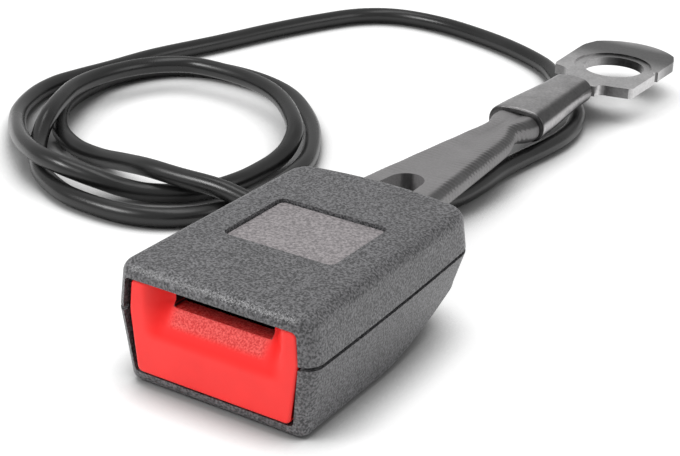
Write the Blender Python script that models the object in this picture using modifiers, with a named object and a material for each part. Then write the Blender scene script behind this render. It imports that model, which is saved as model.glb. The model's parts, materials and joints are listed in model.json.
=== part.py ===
"""Seat belt buckle on a wire-rope stalk with its anchor plate and reminder-switch lead.

Metres, +Z up. X runs across the buckle and +Y runs from the press button to the anchor plate.
Sizes along Y are measured from the front face; the shape helpers move them so that the origin lies
in the middle of the flat face that the housing rests on.
"""

import math

import bmesh
import bpy
from mathutils import Matrix, Vector

MM = 0.001

# Clearances
GAP = 0.3 * MM
PANEL_GAP = 0.35 * MM
CUT_OVER = 1.0 * MM

# Housing
FRONT_WIDTH = 49.4 * MM
REAR_WIDTH = 48.0 * MM
HOUSING_LENGTH = 71.4 * MM
HOUSING_HEIGHT = 29.2 * MM
REAR_BOW = 1.6 * MM
FRONT_CORNER = 4.2 * MM
REAR_CORNER = 6.5 * MM
TOP_EDGE = 3.2 * MM
BOTTOM_EDGE = 2.4 * MM
PARTING_Z = HOUSING_HEIGHT - 11.3 * MM
SEAM_RISE = 2.2 * MM
SIDE_FLARE = 0.9 * MM
SEAM = 0.7 * MM
SEAM_LIP = 1.6 * MM
SIDE_DRAFT = 1.6 * MM
REST_LENGTH = 34.0 * MM
REAR_RISE = 11.8 * MM
WALL = 2.6 * MM
TOP_WALL = 2.5 * MM
REST_Y = REST_LENGTH / 2

# Press button and its aperture
APERTURE_HALF = 21.4 * MM
APERTURE_TOP = HOUSING_HEIGHT - 3.4 * MM
APERTURE_BOTTOM = 3.2 * MM
APERTURE_DRAFT = 1.3 * MM
APERTURE_FLARE = 0.6 * MM
APERTURE_BULGE = 12.0 * MM
APERTURE_CORNER = 1.4 * MM
BUTTON_FRONT = 0.7 * MM
BUTTON_DEPTH = 7.8 * MM
BUTTON_TRAVEL = 5.0 * MM
BUTTON_WALL = 2.3 * MM
SCOOP_HALF = 16.2 * MM
SCOOP_BOTTOM = HOUSING_HEIGHT - 14.6 * MM
SLOT_HALF = 12.7 * MM
ARM_THICKNESS = 2.2 * MM
ARM_BELOW_PIN = 2.5 * MM
ARM_ABOVE_PIN = 3.6 * MM
ARM_END = 33.5 * MM
BUTTON_SPRING_X = 8.0 * MM
BUTTON_SPRING_RADIUS = 2.2 * MM
BUTTON_SPRING_WIRE = 0.28 * MM
BUTTON_SPRING_ROOM = 0.7 * MM
POCKET_ROOM = 1.1 * MM
SPRING_SEAT_Y = 22.3 * MM
SPRING_SEAT_THICKNESS = 1.6 * MM

# Label plate
LABEL_HALF_WIDTH = 14.5 * MM
LABEL_FRONT = 24.2 * MM
LABEL_REAR = 47.6 * MM
LABEL_CORNER = 1.8 * MM
LABEL_THICKNESS = 0.5 * MM
LABEL_SUNK = 0.8 * MM

# Steel base frame
STEEL = 2.2 * MM
BASE_HALF = 15.5 * MM
BASE_FRONT = 14.2 * MM
BASE_REAR = 63.0 * MM
BASE_TAIL_HALF = 10.5 * MM
SIDE_FRONT = 15.0 * MM
SIDE_REAR = 50.0 * MM
SIDE_DEPTH = 13.1 * MM
SIDE_FLOOR_GAP = 0.6 * MM
STOP_Y = 43.5 * MM
STOP_HALF = 5.5 * MM
STOP_THICKNESS = 1.7 * MM
STOP_RISE = 4.8 * MM

# Latch, its pivot and the lock pin
PIVOT_Y = 42.0 * MM
PIVOT_RADIUS = 2.0 * MM
PIVOT_SUNK = 0.7 * MM
LATCH_DROP = 4.3 * MM
LATCH_THICKNESS = 2.2 * MM
LATCH_FRONT = 18.2 * MM
LATCH_REAR = 49.0 * MM
LATCH_HUB = 3.6 * MM
LATCH_NOTCH_HALF = 5.2 * MM
LATCH_SIDE_GAP = 0.5 * MM
TOOTH_HALF = 3.6 * MM
TOOTH_LENGTH = 4.3 * MM
TOOTH_DROP = 0.8 * MM
LOCK_PIN_Y = 29.0 * MM
LOCK_PIN_ROOM = 0.4 * MM
LOCK_PIN_RADIUS = 1.5 * MM

# Ejector
EJECTOR_FRONT = 19.0 * MM
EJECTOR_BRIDGE = 27.0 * MM
EJECTOR_REAR = 30.5 * MM
EJECTOR_THICKNESS = 3.4 * MM
EJECTOR_SPRING_RADIUS = 1.8 * MM
EJECTOR_SPRING_WIRE = 0.25 * MM
EJECTOR_TRAVEL = 8.0 * MM
PRONG_INNER = 4.6 * MM
PRONG_OUTER = 8.0 * MM
EJECTOR_KEY_HALF = 1.6 * MM
CAM_REAR = 34.5 * MM
CAM_SLOPE = 0.15

# Reminder switch
SWITCH_INNER = 9.6 * MM
SWITCH_OUTER = 15.0 * MM
SWITCH_FRONT = 29.0 * MM
SWITCH_REAR = 41.0 * MM
SWITCH_HEIGHT = 4.5 * MM
PLUNGER_Y = 33.0 * MM
PLUNGER_RADIUS = 0.8 * MM
LEAD_RADIUS = 0.6 * MM

# Wire rope, saddle and stalk
ROPE_RADIUS = 2.3 * MM
SADDLE_Y = 57.0 * MM
SADDLE_RADIUS = 6.5 * MM
SADDLE_REAR = 62.0 * MM
SADDLE_HEIGHT = 4.5 * MM
RIVET_RADIUS = 2.4 * MM
RIVET_HEAD = 4.0 * MM
RIVET_HEAD_HEIGHT = 0.7 * MM
SLEEVE_FRONT = 66.5 * MM
SLEEVE_WALL = 0.6 * MM
SLEEVE_TAPER_END = 146.0 * MM
STALK_SHIFT = -12.5 * MM
LEG_SPREAD_END = 3.75 * MM
LEG_PINCH = 10.0 * MM
SLEEVE_GAP_END = 90.0 * MM
FERRULE_FRONT = 167.0 * MM
FERRULE_LENGTH = 37.0 * MM
FERRULE_HALF_WIDTH = 8.2 * MM
FERRULE_HALF_HEIGHT = 4.1 * MM
FERRULE_WALL = 1.5 * MM
FERRULE_Z = 10.2 * MM
ROPE_GRIP = 22.0 * MM

# Anchor plate
PLATE_THICKNESS = 3.2 * MM
PLATE_HALF = 15.4 * MM
PLATE_SHIFT = 1.0 * MM
PLATE_NEAR_HALF = 15.0 * MM
PLATE_NEAR = 209.4 * MM
PLATE_CUT_BACK = 7.6 * MM
PLATE_ARC_Y = 232.6 * MM
PLATE_ARC_RADIUS = 19.0 * MM
PLATE_NOTCH_Y = 227.6 * MM
PLATE_NOTCH_RADIUS = 1.3 * MM
NECK_HALF = 6.4 * MM
TAIL_HALF = 5.6 * MM
TAIL_LENGTH = 12.0 * MM
BOLT_HOLE_X = STALK_SHIFT + 2.0 * MM
BOLT_HOLE_Y = 226.7 * MM
BOLT_HOLE_RADIUS = 9.7 * MM
COIN_RADIUS = 12.0 * MM
COIN_DEPTH = 0.5 * MM

# Lead, grommet and connector
CORD_RADIUS = 2.6 * MM
GROMMET_X = -14.0 * MM
GROMMET_Z = 16.3 * MM
GROMMET_NECK = 3.4 * MM
GROMMET_FLANGE = 4.3 * MM
GROMMET_END = 81.0 * MM
CONNECTOR_LENGTH = 22.0 * MM
CONNECTOR_WIDTH = 10.0 * MM
CONNECTOR_HEIGHT = 7.0 * MM
TERMINAL_SPACING = 4.0 * MM
TERMINAL_LENGTH = 3.5 * MM
CORD_SPACING = 15.5 * MM

# Levels inside the housing, stacked down from its top
BASE_TOP = HOUSING_HEIGHT - TOP_WALL - SADDLE_HEIGHT - RIVET_HEAD_HEIGHT - 3 * GAP
SLOT_BOTTOM = BASE_TOP + GAP
STOP_TOP = BASE_TOP + STOP_RISE
SIDE_BOTTOM = BASE_TOP - SIDE_DEPTH
LATCH_TOP = BASE_TOP - STEEL - LATCH_DROP
LATCH_BOTTOM = LATCH_TOP - LATCH_THICKNESS
PIVOT_Z = LATCH_TOP - PIVOT_SUNK
TOOTH_TOP = BASE_TOP - TOOTH_DROP
LOCK_PIN_Z = LATCH_BOTTOM - LOCK_PIN_ROOM - LOCK_PIN_RADIUS
ARM_BOTTOM = LOCK_PIN_Z - ARM_BELOW_PIN
ARM_TOP = LOCK_PIN_Z + ARM_ABOVE_PIN
BUTTON_SPRING_HALF = BUTTON_SPRING_RADIUS + BUTTON_SPRING_WIRE
BUTTON_SPRING_Z = LATCH_BOTTOM - BUTTON_SPRING_ROOM - BUTTON_SPRING_HALF

# The lead's route, in millimetres from the front face: out of the grommet, down beside the stalk,
# under the ferrule, twice round in a loose coil and back to the housing's far side.
CORD_ROUTE = [
    (-14.0, 67.0, 16.3), (-14.0, 76.0, 16.3), (-14.0, 84.0, 15.7), (-13.8, 96.0, 11.3),
    (-12.4, 110.0, 5.6), (-9.8, 123.0, 3.0), (-8.9, 136.0, 2.7), (-9.1, 149.0, 2.7),
    (-8.1, 160.0, 2.7), (-6.6, 171.0, 2.7), (-5.8, 182.0, 2.7), (-7.2, 193.0, 2.7),
    (-11.5, 204.0, 2.7), (-19.5, 214.5, 2.8), (-28.5, 226.0, 2.8), (-38.5, 237.0, 2.7),
    (-54.0, 245.8, 2.7), (-70.6, 251.6, 2.7), (-88.0, 255.0, 2.7), (-104.5, 253.5, 2.7),
    (-116.0, 245.5, 2.7), (-124.0, 231.0, 2.7), (-131.5, 212.0, 2.7), (-138.2, 191.0, 2.7),
    (-146.6, 167.5, 2.7), (-150.4, 149.2, 2.7), (-153.2, 137.7, 2.7), (-154.8, 127.5, 2.7),
    (-152.6, 115.6, 2.8), (-144.6, 100.3, 3.6), (-127.2, 82.0, 6.6), (-112.2, 72.0, 8.5),
    (-102.2, 69.6, 8.5), (-95.1, 70.3, 7.4), (-89.1, 72.1, 6.0), (-83.6, 75.2, 4.1),
    (-78.0, 79.0, 2.9), (-70.6, 84.6, 2.7), (-66.2, 91.5, 2.7), (-64.0, 99.6, 2.7),
    (-63.4, 108.0, 2.7), (-63.0, 116.5, 3.4), (-63.9, 124.3, 5.0), (-68.4, 133.7, 7.4),
    (-82.9, 147.3, 8.4), (-99.2, 154.8, 8.4), (-118.0, 156.0, 8.4), (-127.8, 151.5, 8.4),
    (-134.5, 142.6, 8.4), (-138.1, 130.1, 8.4), (-137.6, 117.9, 8.5), (-133.8, 106.8, 8.5),
    (-130.4, 98.2, 7.6), (-127.7, 91.7, 5.2), (-122.6, 84.0, 2.9), (-111.8, 73.2, 2.7),
    (-99.0, 66.4, 2.7), (-88.5, 64.3, 2.7), (-76.0, 64.6, 2.7), (-66.1, 68.3, 2.7),
    (-58.5, 76.0, 2.7), (-54.5, 87.0, 2.7), (-53.2, 99.0, 2.7), (-54.3, 112.0, 2.7),
    (-58.0, 125.5, 2.7), (-68.6, 143.4, 2.7), (-81.5, 157.0, 2.7), (-92.5, 164.8, 2.7),
    (-104.6, 168.8, 2.7), (-117.7, 169.4, 2.7), (-127.9, 166.9, 2.7), (-135.5, 161.9, 2.7),
    (-141.2, 153.4, 2.7), (-144.3, 142.5, 2.7), (-144.3, 132.8, 2.7), (-142.9, 123.7, 2.7),
    (-139.5, 114.6, 2.7), (-133.2, 105.5, 2.7), (-125.1, 97.6, 2.7), (-114.6, 92.0, 2.7),
    (-104.3, 89.6, 3.2), (-93.3, 86.2, 5.6), (-81.7, 82.3, 8.2), (-70.2, 81.2, 8.7),
    (-58.0, 81.7, 8.6), (-49.5, 82.2, 7.2), (-41.5, 83.0, 5.0), (-33.0, 83.8, 3.7),
    (-24.0, 84.0, 3.5),
]


def clear_scene():
    for obj in list(bpy.data.objects):
        bpy.data.objects.remove(obj, do_unlink=True)


def collection(name):
    made = bpy.data.collections.new(name)
    bpy.context.scene.collection.children.link(made)
    return made


def material(name, colour, roughness, metallic=0.0):
    made = bpy.data.materials.new(name)
    made.use_nodes = True
    shader = made.node_tree.nodes["Principled BSDF"]
    shader.inputs["Base Color"].default_value = (*colour, 1.0)
    shader.inputs["Roughness"].default_value = roughness
    shader.inputs["Metallic"].default_value = metallic
    made.diffuse_color = (*colour, 1.0)
    return made


clear_scene()
PARTS = collection("seat_belt_buckle")
CUTTERS = collection("cutters")

BLACK_PLASTIC = material("black_plastic", (0.045, 0.045, 0.048), 0.55)
SLEEVE_PLASTIC = material("sleeve_plastic", (0.05, 0.05, 0.052), 0.6)
RED_PLASTIC = material("red_plastic", (0.85, 0.03, 0.02), 0.4)
GREY_LABEL = material("satin_label", (0.28, 0.27, 0.27), 0.45)
WHITE_PLASTIC = material("white_plastic", (0.75, 0.74, 0.7), 0.5)
PLATED_STEEL = material("plated_steel", (0.42, 0.42, 0.42), 0.35, 1.0)
SPRING_STEEL = material("spring_steel", (0.5, 0.5, 0.5), 0.3, 1.0)
CORD_RUBBER = material("cord_jacket", (0.02, 0.02, 0.021), 0.45)
BROWN_WIRE = material("brown_wire", (0.2, 0.09, 0.04), 0.5)
BRASS = material("tinned_brass", (0.6, 0.55, 0.4), 0.35, 1.0)


# Shape helpers

def placed(point):
    """A point given from the front face, in the part's own frame."""
    return Vector((point[0], point[1] - REST_Y, point[2]))


def add_object(name, data, look, cutter=False):
    obj = bpy.data.objects.new(name, data)
    (CUTTERS if cutter else PARTS).objects.link(obj)
    if look is not None:
        data.materials.append(look)
    if cutter:
        hide(obj)
    return obj


def hide(obj):
    obj.hide_render = True
    obj.display_type = "WIRE"


def mesh_from(name, builder, look=None, cutter=False):
    """A mesh object from a bmesh that builder fills, with its faces turned outward."""
    shape = bmesh.new()
    builder(shape)
    bmesh.ops.recalc_face_normals(shape, faces=shape.faces)
    mesh = bpy.data.meshes.new(name)
    shape.to_mesh(mesh)
    shape.free()
    return add_object(name, mesh, look, cutter)


def box(name, low, high, look=None, cutter=False):
    low, high = placed(low), placed(high)

    def build(shape):
        bmesh.ops.create_cube(shape, size=1.0)
        bmesh.ops.scale(shape, vec=high - low, verts=shape.verts)
        bmesh.ops.translate(shape, vec=(low + high) / 2, verts=shape.verts)

    return mesh_from(name, build, look, cutter)


def cylinder(name, start, end, radius, look=None, cutter=False, sides=24, origin=None):
    """A solid rod from start to end; with an origin it is built around that point."""
    start, end = placed(start), placed(end)
    base = placed(origin) if origin else Vector()
    turn = (end - start).to_track_quat("Z", "Y").to_matrix().to_4x4()
    move = Matrix.Translation((start + end) / 2 - base) @ turn

    def build(shape):
        bmesh.ops.create_cone(
            shape, cap_ends=True, segments=sides, radius1=radius, radius2=radius,
            depth=(end - start).length, matrix=move,
        )

    obj = mesh_from(name, build, look, cutter)
    obj.location = base
    return smooth(obj)


def smooth(obj, angle=40):
    obj.data.shade_smooth()
    obj.data.set_sharp_from_angle(angle=math.radians(angle))
    return obj


def as_mesh(obj):
    """The mesh that a curve object draws, as a new object in its place."""
    bpy.context.view_layer.update()
    graph = bpy.context.evaluated_depsgraph_get()
    mesh = bpy.data.meshes.new_from_object(obj.evaluated_get(graph))
    shape = bmesh.new()
    shape.from_mesh(mesh)
    bmesh.ops.remove_doubles(shape, verts=shape.verts, dist=1e-7)
    bmesh.ops.recalc_face_normals(shape, faces=shape.faces)
    shape.to_mesh(mesh)
    shape.free()
    name, place, cutter = obj.name, obj.matrix_world.copy(), obj.hide_render
    bpy.data.objects.remove(obj, do_unlink=True)
    made = add_object(name, mesh, None, cutter)
    made.name = name
    made.matrix_world = place
    return made


PLANES = {
    "XY": (0.0, 0.0, 0.0),
    "XZ": (math.pi / 2, 0.0, 0.0),
    "YZ": (math.pi / 2, 0.0, math.pi / 2),
}


def flat(name, outline, low, high, look=None, plane="XY", holes=(), cutter=False):
    """A flat outline, with any holes, that reaches from low to high across its plane."""
    curve = bpy.data.curves.new(name, "CURVE")
    curve.dimensions = "2D"
    curve.fill_mode = "BOTH"
    curve.extrude = (high - low) / 2
    for loop in (outline, *holes):
        spline = curve.splines.new("POLY")
        spline.points.add(len(loop) - 1)
        for point, (u, v) in zip(spline.points, loop):
            point.co = (u, v, 0.0, 1.0)
        spline.use_cyclic_u = True
    obj = add_object(name, curve, look, cutter)
    middle = (low + high) / 2
    centres = {"XY": (0, 0, middle), "XZ": (0, middle, 0), "YZ": (middle, 0, 0)}
    obj.location = placed(centres[plane])
    obj.rotation_euler = PLANES[plane]
    return as_mesh(obj)


def rounded(corners, radii, steps=4):
    """The outline through the corners with each one rounded by its radius."""
    points = []
    count = len(corners)
    for index, corner in enumerate(corners):
        radius = radii[index] if isinstance(radii, (list, tuple)) else radii
        here = Vector(corner)
        if radius <= 0:
            points.append(tuple(here))
            continue
        before = (Vector(corners[index - 1]) - here).normalized()
        after = (Vector(corners[(index + 1) % count]) - here).normalized()
        half = before.angle(after) / 2
        centre = here + (before + after).normalized() * (radius / math.sin(half))
        first = here + before * (radius / math.tan(half)) - centre
        last = here + after * (radius / math.tan(half)) - centre
        sweep = first.angle_signed(last)
        for step in range(steps + 1):
            turned = first.copy()
            turned.rotate(Matrix.Rotation(-sweep * step / steps, 2))
            points.append(tuple(centre + turned))
    return points


def rectangle(left, right, front, rear):
    return [(left, front), (right, front), (right, rear), (left, rear)]


def circle(u, v, radius, sides=32):
    turn = 2 * math.pi / sides
    return [(u + radius * math.cos(k * turn), v + radius * math.sin(k * turn)) for k in range(sides)]


def tube(name, points, radius, look, resolution=2, cutter=False):
    """A round bar along points given from the front face."""
    curve = bpy.data.curves.new(name, "CURVE")
    curve.dimensions = "3D"
    curve.bevel_depth = radius
    curve.bevel_resolution = resolution
    curve.use_fill_caps = True
    spline = curve.splines.new("POLY")
    spline.points.add(len(points) - 1)
    for point, place in zip(spline.points, points):
        point.co = (*placed(place), 1.0)
    return add_object(name, curve, look, cutter)


def loft(name, rings, look=None, cutter=False):
    """A closed skin over rings of equal length; each ring is mirrored about its own middle."""

    def build(shape):
        rows = [[shape.verts.new(placed(point)) for point in ring] for ring in rings]
        count = len(rows[0])
        for lower, upper in zip(rows, rows[1:]):
            for index in range(count):
                after = (index + 1) % count
                shape.faces.new((lower[index], lower[after], upper[after], upper[index]))
        for row in (rows[0], rows[-1]):
            for index in range(count // 2 - 1):
                shape.faces.new(
                    (row[index], row[index + 1], row[count - 2 - index], row[count - 1 - index])
                )

    return mesh_from(name, build, look, cutter)


def boolean(target, tool, operation):
    step = target.modifiers.new(operation.lower() + "_" + tool.name, "BOOLEAN")
    step.operation = operation
    step.solver = "EXACT"
    step.object = tool
    if not tool.hide_render:
        hide(tool)
        PARTS.objects.unlink(tool)
        CUTTERS.objects.link(tool)
    return target


def cut(target, *tools):
    for tool in tools:
        boolean(target, tool, "DIFFERENCE")
    return target


def join(target, *tools):
    for tool in tools:
        boolean(target, tool, "UNION")
    return target


def bevel(obj, width, segments=2, angle=35):
    step = obj.modifiers.new("rounded_edges", "BEVEL")
    step.width = width
    step.segments = segments
    step.limit_method = "ANGLE"
    step.angle_limit = math.radians(angle)
    return obj


def turned(name, profile, centre, look, axis="Z", steps=24):
    """A profile of (radius, height) points, top to bottom down its outer side, turned about an axis."""
    mesh = bpy.data.meshes.new(name)
    points = [Vector((radius, 0.0, height)) for radius, height in profile]
    links = [(k, k + 1) for k in range(len(points) - 1)]
    if profile[0][0] > 0:
        links.append((len(points) - 1, 0))
    mesh.from_pydata(points, links, [])
    obj = add_object(name, mesh, look)
    step = obj.modifiers.new("turn", "SCREW")
    step.axis = "Z"
    step.steps = steps
    step.render_steps = steps
    step.use_merge_vertices = True
    step.merge_threshold = 1e-6
    obj.location = placed(centre)
    if axis == "Y":
        obj.rotation_euler = (-math.pi / 2, 0.0, 0.0)
    return obj


def coil(start, end, radius, turns, per_turn=8, flat_turns=0.75):
    """Points of a compression spring from start to end along Y, with a closed turn at each end."""
    start, end = Vector(start), Vector(end)
    total = int(turns * per_turn)
    points = []
    for step in range(total + 1):
        turn = step / per_turn
        share = (turn - flat_turns) / (turns - 2 * flat_turns)
        share = min(max(share, 0.0), 1.0)
        angle = 2 * math.pi * turn
        centre = start.lerp(end, share)
        points.append(centre + Vector((radius * math.cos(angle), 0.0, radius * math.sin(angle))))
    return points


def smooth_route(route, spacing):
    """Evenly spaced points on a smooth curve through the route's own points."""
    ends = [2 * Vector(route[0]) - Vector(route[1]), 2 * Vector(route[-1]) - Vector(route[-2])]
    knots = [ends[0], *map(Vector, route), ends[1]]
    fine = []
    for a, b, c, d in zip(knots, knots[1:], knots[2:], knots[3:]):
        for step in range(12):
            t = step / 12
            fine.append(
                0.5 * (2 * b + (c - a) * t + (2 * a - 5 * b + 4 * c - d) * t**2
                       + (3 * b - 3 * c + d - a) * t**3)
            )
    fine.append(knots[-2])
    lengths = [0.0]
    for one, two in zip(fine, fine[1:]):
        lengths.append(lengths[-1] + (two - one).length)
    count = max(round(lengths[-1] / spacing), 2)
    points = []
    index = 0
    for step in range(count + 1):
        wanted = lengths[-1] * step / count
        while index < len(fine) - 2 and lengths[index + 1] < wanted:
            index += 1
        share = (wanted - lengths[index]) / (lengths[index + 1] - lengths[index])
        points.append(fine[index].lerp(fine[index + 1], share))
    return points


# Housing shells

def half_width(y):
    return (FRONT_WIDTH + (REAR_WIDTH - FRONT_WIDTH) * y / HOUSING_LENGTH) / 2


def half_plan(inset):
    """The right half of the housing seen from above, from its front middle to its rear middle."""
    least = 0.6 * MM
    front_radius = max(FRONT_CORNER - inset, least)
    rear_radius = max(REAR_CORNER - inset, least)
    front = inset
    rear = HOUSING_LENGTH - REAR_BOW - inset
    front_half = half_width(0) - inset
    rear_half = half_width(HOUSING_LENGTH) - inset
    corner_steps, side_steps, rear_steps = 4, 7, 3
    points = []
    for step in range(corner_steps + 1):
        angle = math.pi / 2 * step / corner_steps
        points.append((front_half - front_radius * (1 - math.sin(angle)),
                       front + front_radius * (1 - math.cos(angle))))
    for step in range(1, side_steps):
        share = step / side_steps
        first, last = front + front_radius, rear - rear_radius
        points.append((front_half + (rear_half - front_half) * share,
                       first + (last - first) * share))
    for step in range(corner_steps + 1):
        angle = math.pi / 2 * step / corner_steps
        points.append((rear_half - rear_radius * (1 - math.cos(angle)),
                       rear - rear_radius * (1 - math.sin(angle))))
    straight = rear_half - rear_radius
    for step in range(1, rear_steps + 1):
        x = straight * (1 - step / (rear_steps + 0.5))
        points.append((x, rear + REAR_BOW * (1 - (x / straight) ** 2)))
    return points


def ring(inset, height, flare=0.0):
    """A closed ring of the plan; height gives z at a distance from the front face."""
    wider = 1 + flare / half_width(0)
    half = [(x * wider, y) for x, y in half_plan(inset)]
    right = [(x, y, height(y)) for x, y in half]
    left = [(-x, y, height(y)) for x, y in reversed(half)]
    return right + left


def level(z):
    return lambda y: z


def seam(offset):
    """The parting line's height, which rises to the rear, with an offset above it."""
    return lambda y: PARTING_Z + SEAM_RISE * (y / HOUSING_LENGTH) ** 2 + offset


def underside(y):
    """The housing's lower face: flat where it rests, then rising to the rear."""
    beyond = max(y - REST_LENGTH, 0.0)
    return REAR_RISE * (beyond / (HOUSING_LENGTH - REST_LENGTH)) ** 1.5


def upper_rings(wall, top, bottom):
    edge = max(TOP_EDGE - wall, 0.8 * MM)
    rings = [ring(wall, seam(bottom), SIDE_FLARE), ring(wall, level(top - edge))]
    steps = 5
    for step in range(1, steps + 1):
        angle = math.pi / 2 * step / steps
        z = top - edge * (1 - math.sin(angle))
        rings.append(ring(wall + edge * (1 - math.cos(angle)), level(z)))
    return rings


def lower_rings(wall, top):
    edge = max(BOTTOM_EDGE - wall, 0.8 * MM)
    rings = [ring(wall, seam(top), SIDE_FLARE), ring(wall, seam(-SEAM / 2 - 0.1 * MM), SIDE_FLARE)]
    steps = 4
    for step in range(steps + 1):
        angle = math.pi / 2 * step / steps
        rise = wall + edge * (1 - math.sin(angle))
        inset = wall + SIDE_DRAFT + edge * (1 - math.cos(angle))
        rings.append(ring(inset, lambda y, rise=rise: underside(y) + rise))
    return rings


def aperture(inset):
    """The front opening's outline in X and Z, inset all round for the button in it."""
    side = APERTURE_HALF - inset
    foot = side - APERTURE_DRAFT
    top, bottom = APERTURE_TOP - inset, APERTURE_BOTTOM + inset
    waist = side + APERTURE_FLARE
    corners = [(side, top), (waist, PARTING_Z), (foot, bottom),
               (-foot, bottom), (-waist, PARTING_Z), (-side, top)]
    tight, wide = APERTURE_CORNER, APERTURE_BULGE
    radii = [tight, wide, tight, tight, wide, tight]
    return rounded(corners, radii)


def aperture_cutter(name):
    depth = WALL + SIDE_DRAFT + 2 * CUT_OVER
    return flat(name, aperture(0), -CUT_OVER, depth, plane="XZ", cutter=True)


def grommet_cutter(name):
    return cylinder(
        name, (GROMMET_X, HOUSING_LENGTH - WALL - 4 * CUT_OVER, GROMMET_Z),
        (GROMMET_X, HOUSING_LENGTH + CUT_OVER, GROMMET_Z), GROMMET_NECK + GAP, cutter=True,
    )


def sleeve_half_height():
    return ROPE_RADIUS + GAP + SLEEVE_WALL


def stalk_opening(name):
    half = sleeve_half_width(SLEEVE_FRONT) + 3 * GAP
    return box(
        name,
        (-half, HOUSING_LENGTH - WALL - 2 * REAR_BOW, rope_level() - sleeve_half_height() - 2 * GAP),
        (half, HOUSING_LENGTH + CUT_OVER, HOUSING_HEIGHT - TOP_WALL), cutter=True,
    )


def label_outline(inset):
    corners = rectangle(-LABEL_HALF_WIDTH + inset, LABEL_HALF_WIDTH - inset,
                        LABEL_FRONT + inset, LABEL_REAR - inset)
    return rounded(corners, LABEL_CORNER - inset)


def make_upper_cover():
    top = HOUSING_HEIGHT
    cover = loft("upper_cover", upper_rings(0.0, top, SEAM / 2), BLACK_PLASTIC)
    cavity = loft("cavity_upper", upper_rings(WALL, top - TOP_WALL, -CUT_OVER),
                  cutter=True)
    lip_inset = WALL / 2 - GAP / 2
    rebate = loft("seam_rebate", [
        ring(lip_inset, seam(-CUT_OVER), SIDE_FLARE),
        ring(lip_inset, seam(SEAM_LIP + GAP), SIDE_FLARE),
    ], cutter=True)
    recess_floor = top - LABEL_SUNK - LABEL_THICKNESS - GAP
    recess = flat("label_recess", label_outline(0.0), recess_floor, top + CUT_OVER, cutter=True)
    cut(cover, cavity, aperture_cutter("aperture_upper"), rebate,
        stalk_opening("stalk_opening_upper"), grommet_cutter("grommet_hole_upper"), recess)
    return smooth(cover, 30)


def make_lower_cover():
    cover = loft("lower_cover", lower_rings(0.0, -SEAM / 2), BLACK_PLASTIC)
    lip_inset = WALL / 2 + GAP / 2
    lip = loft("seam_lip", [
        ring(lip_inset, seam(-2 * CUT_OVER), SIDE_FLARE),
        ring(lip_inset, seam(SEAM_LIP), SIDE_FLARE),
    ], cutter=True)
    cavity = loft("cavity_lower", lower_rings(WALL, 2 * SEAM_LIP), cutter=True)
    seat = box(
        "spring_seat",
        (-BUTTON_SPRING_X - 4 * MM, SPRING_SEAT_Y, WALL / 2),
        (BUTTON_SPRING_X + 4 * MM, SPRING_SEAT_Y + SPRING_SEAT_THICKNESS,
         LATCH_BOTTOM - 2 * GAP), cutter=True,
    )
    join(cover, lip)
    cut(cover, cavity, aperture_cutter("aperture_lower"), stalk_opening("stalk_opening_lower"),
        grommet_cutter("grommet_hole_lower"))
    join(cover, seat)
    post_width = 3.4 * MM
    for side in (-1, 1):
        for y in (SIDE_FRONT + 1 * MM, SIDE_REAR - 4 * MM):
            ends = sorted((side * BASE_HALF, side * (BASE_HALF - post_width)))
            post = box(
                f"frame_post_{side}_{y:.3f}", (ends[0], y, underside(y) + WALL / 2),
                (ends[1], y + 2 * MM, SIDE_BOTTOM - GAP), cutter=True,
            )
            join(cover, post)
    return smooth(cover, 30)


def make_label_plate():
    low = HOUSING_HEIGHT - LABEL_SUNK - LABEL_THICKNESS
    return flat("label_plate", label_outline(GAP), low, low + LABEL_THICKNESS, GREY_LABEL)


# Press button

def scoop_ring(y, half, bottom, radius):
    top = HOUSING_HEIGHT + CUT_OVER
    corners = [(half, top), (half, bottom), (-half, bottom), (-half, top)]
    outline = rounded(corners, [0, radius, radius, 0], steps=5)
    right = outline[:len(outline) // 2]
    middle = [(0.0, right[-1][1])]
    points = [(0.0, top), *right, *middle]
    mirrored = [(-x, z) for x, z in right]
    return [(x, y, z) for x, z in points + mirrored[::-1]]


def scoop_cutter():
    """The thumb scoop and tongue slot: a soft rim, then a floor sloping up into the slot."""
    front = BUTTON_FRONT
    stations = [
        (front - CUT_OVER, SCOOP_HALF + 0.9 * MM, SCOOP_BOTTOM - 0.5 * MM, 4.2 * MM),
        (front, SCOOP_HALF, SCOOP_BOTTOM, 4.0 * MM),
        (front + 0.7 * MM, SCOOP_HALF - 1.9 * MM, SCOOP_BOTTOM + 0.7 * MM, 3.2 * MM),
        (front + 1.7 * MM, SLOT_HALF + 0.3 * MM, SCOOP_BOTTOM + 1.6 * MM, 2.2 * MM),
        (front + 5.6 * MM, SLOT_HALF, SLOT_BOTTOM, 1.2 * MM),
        (front + BUTTON_DEPTH + CUT_OVER, SLOT_HALF, SLOT_BOTTOM, 1.2 * MM),
    ]
    rings = [scoop_ring(*station) for station in stations]

    def build(shape):
        rows = [[shape.verts.new(placed(point)) for point in row] for row in rings]
        count = len(rows[0])
        for near, far in zip(rows, rows[1:]):
            for index in range(count):
                after = (index + 1) % count
                shape.faces.new((near[index], near[after], far[after], far[index]))
        shape.faces.new(rows[0])
        shape.faces.new(rows[-1])

    return mesh_from("scoop", build, cutter=True)


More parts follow.
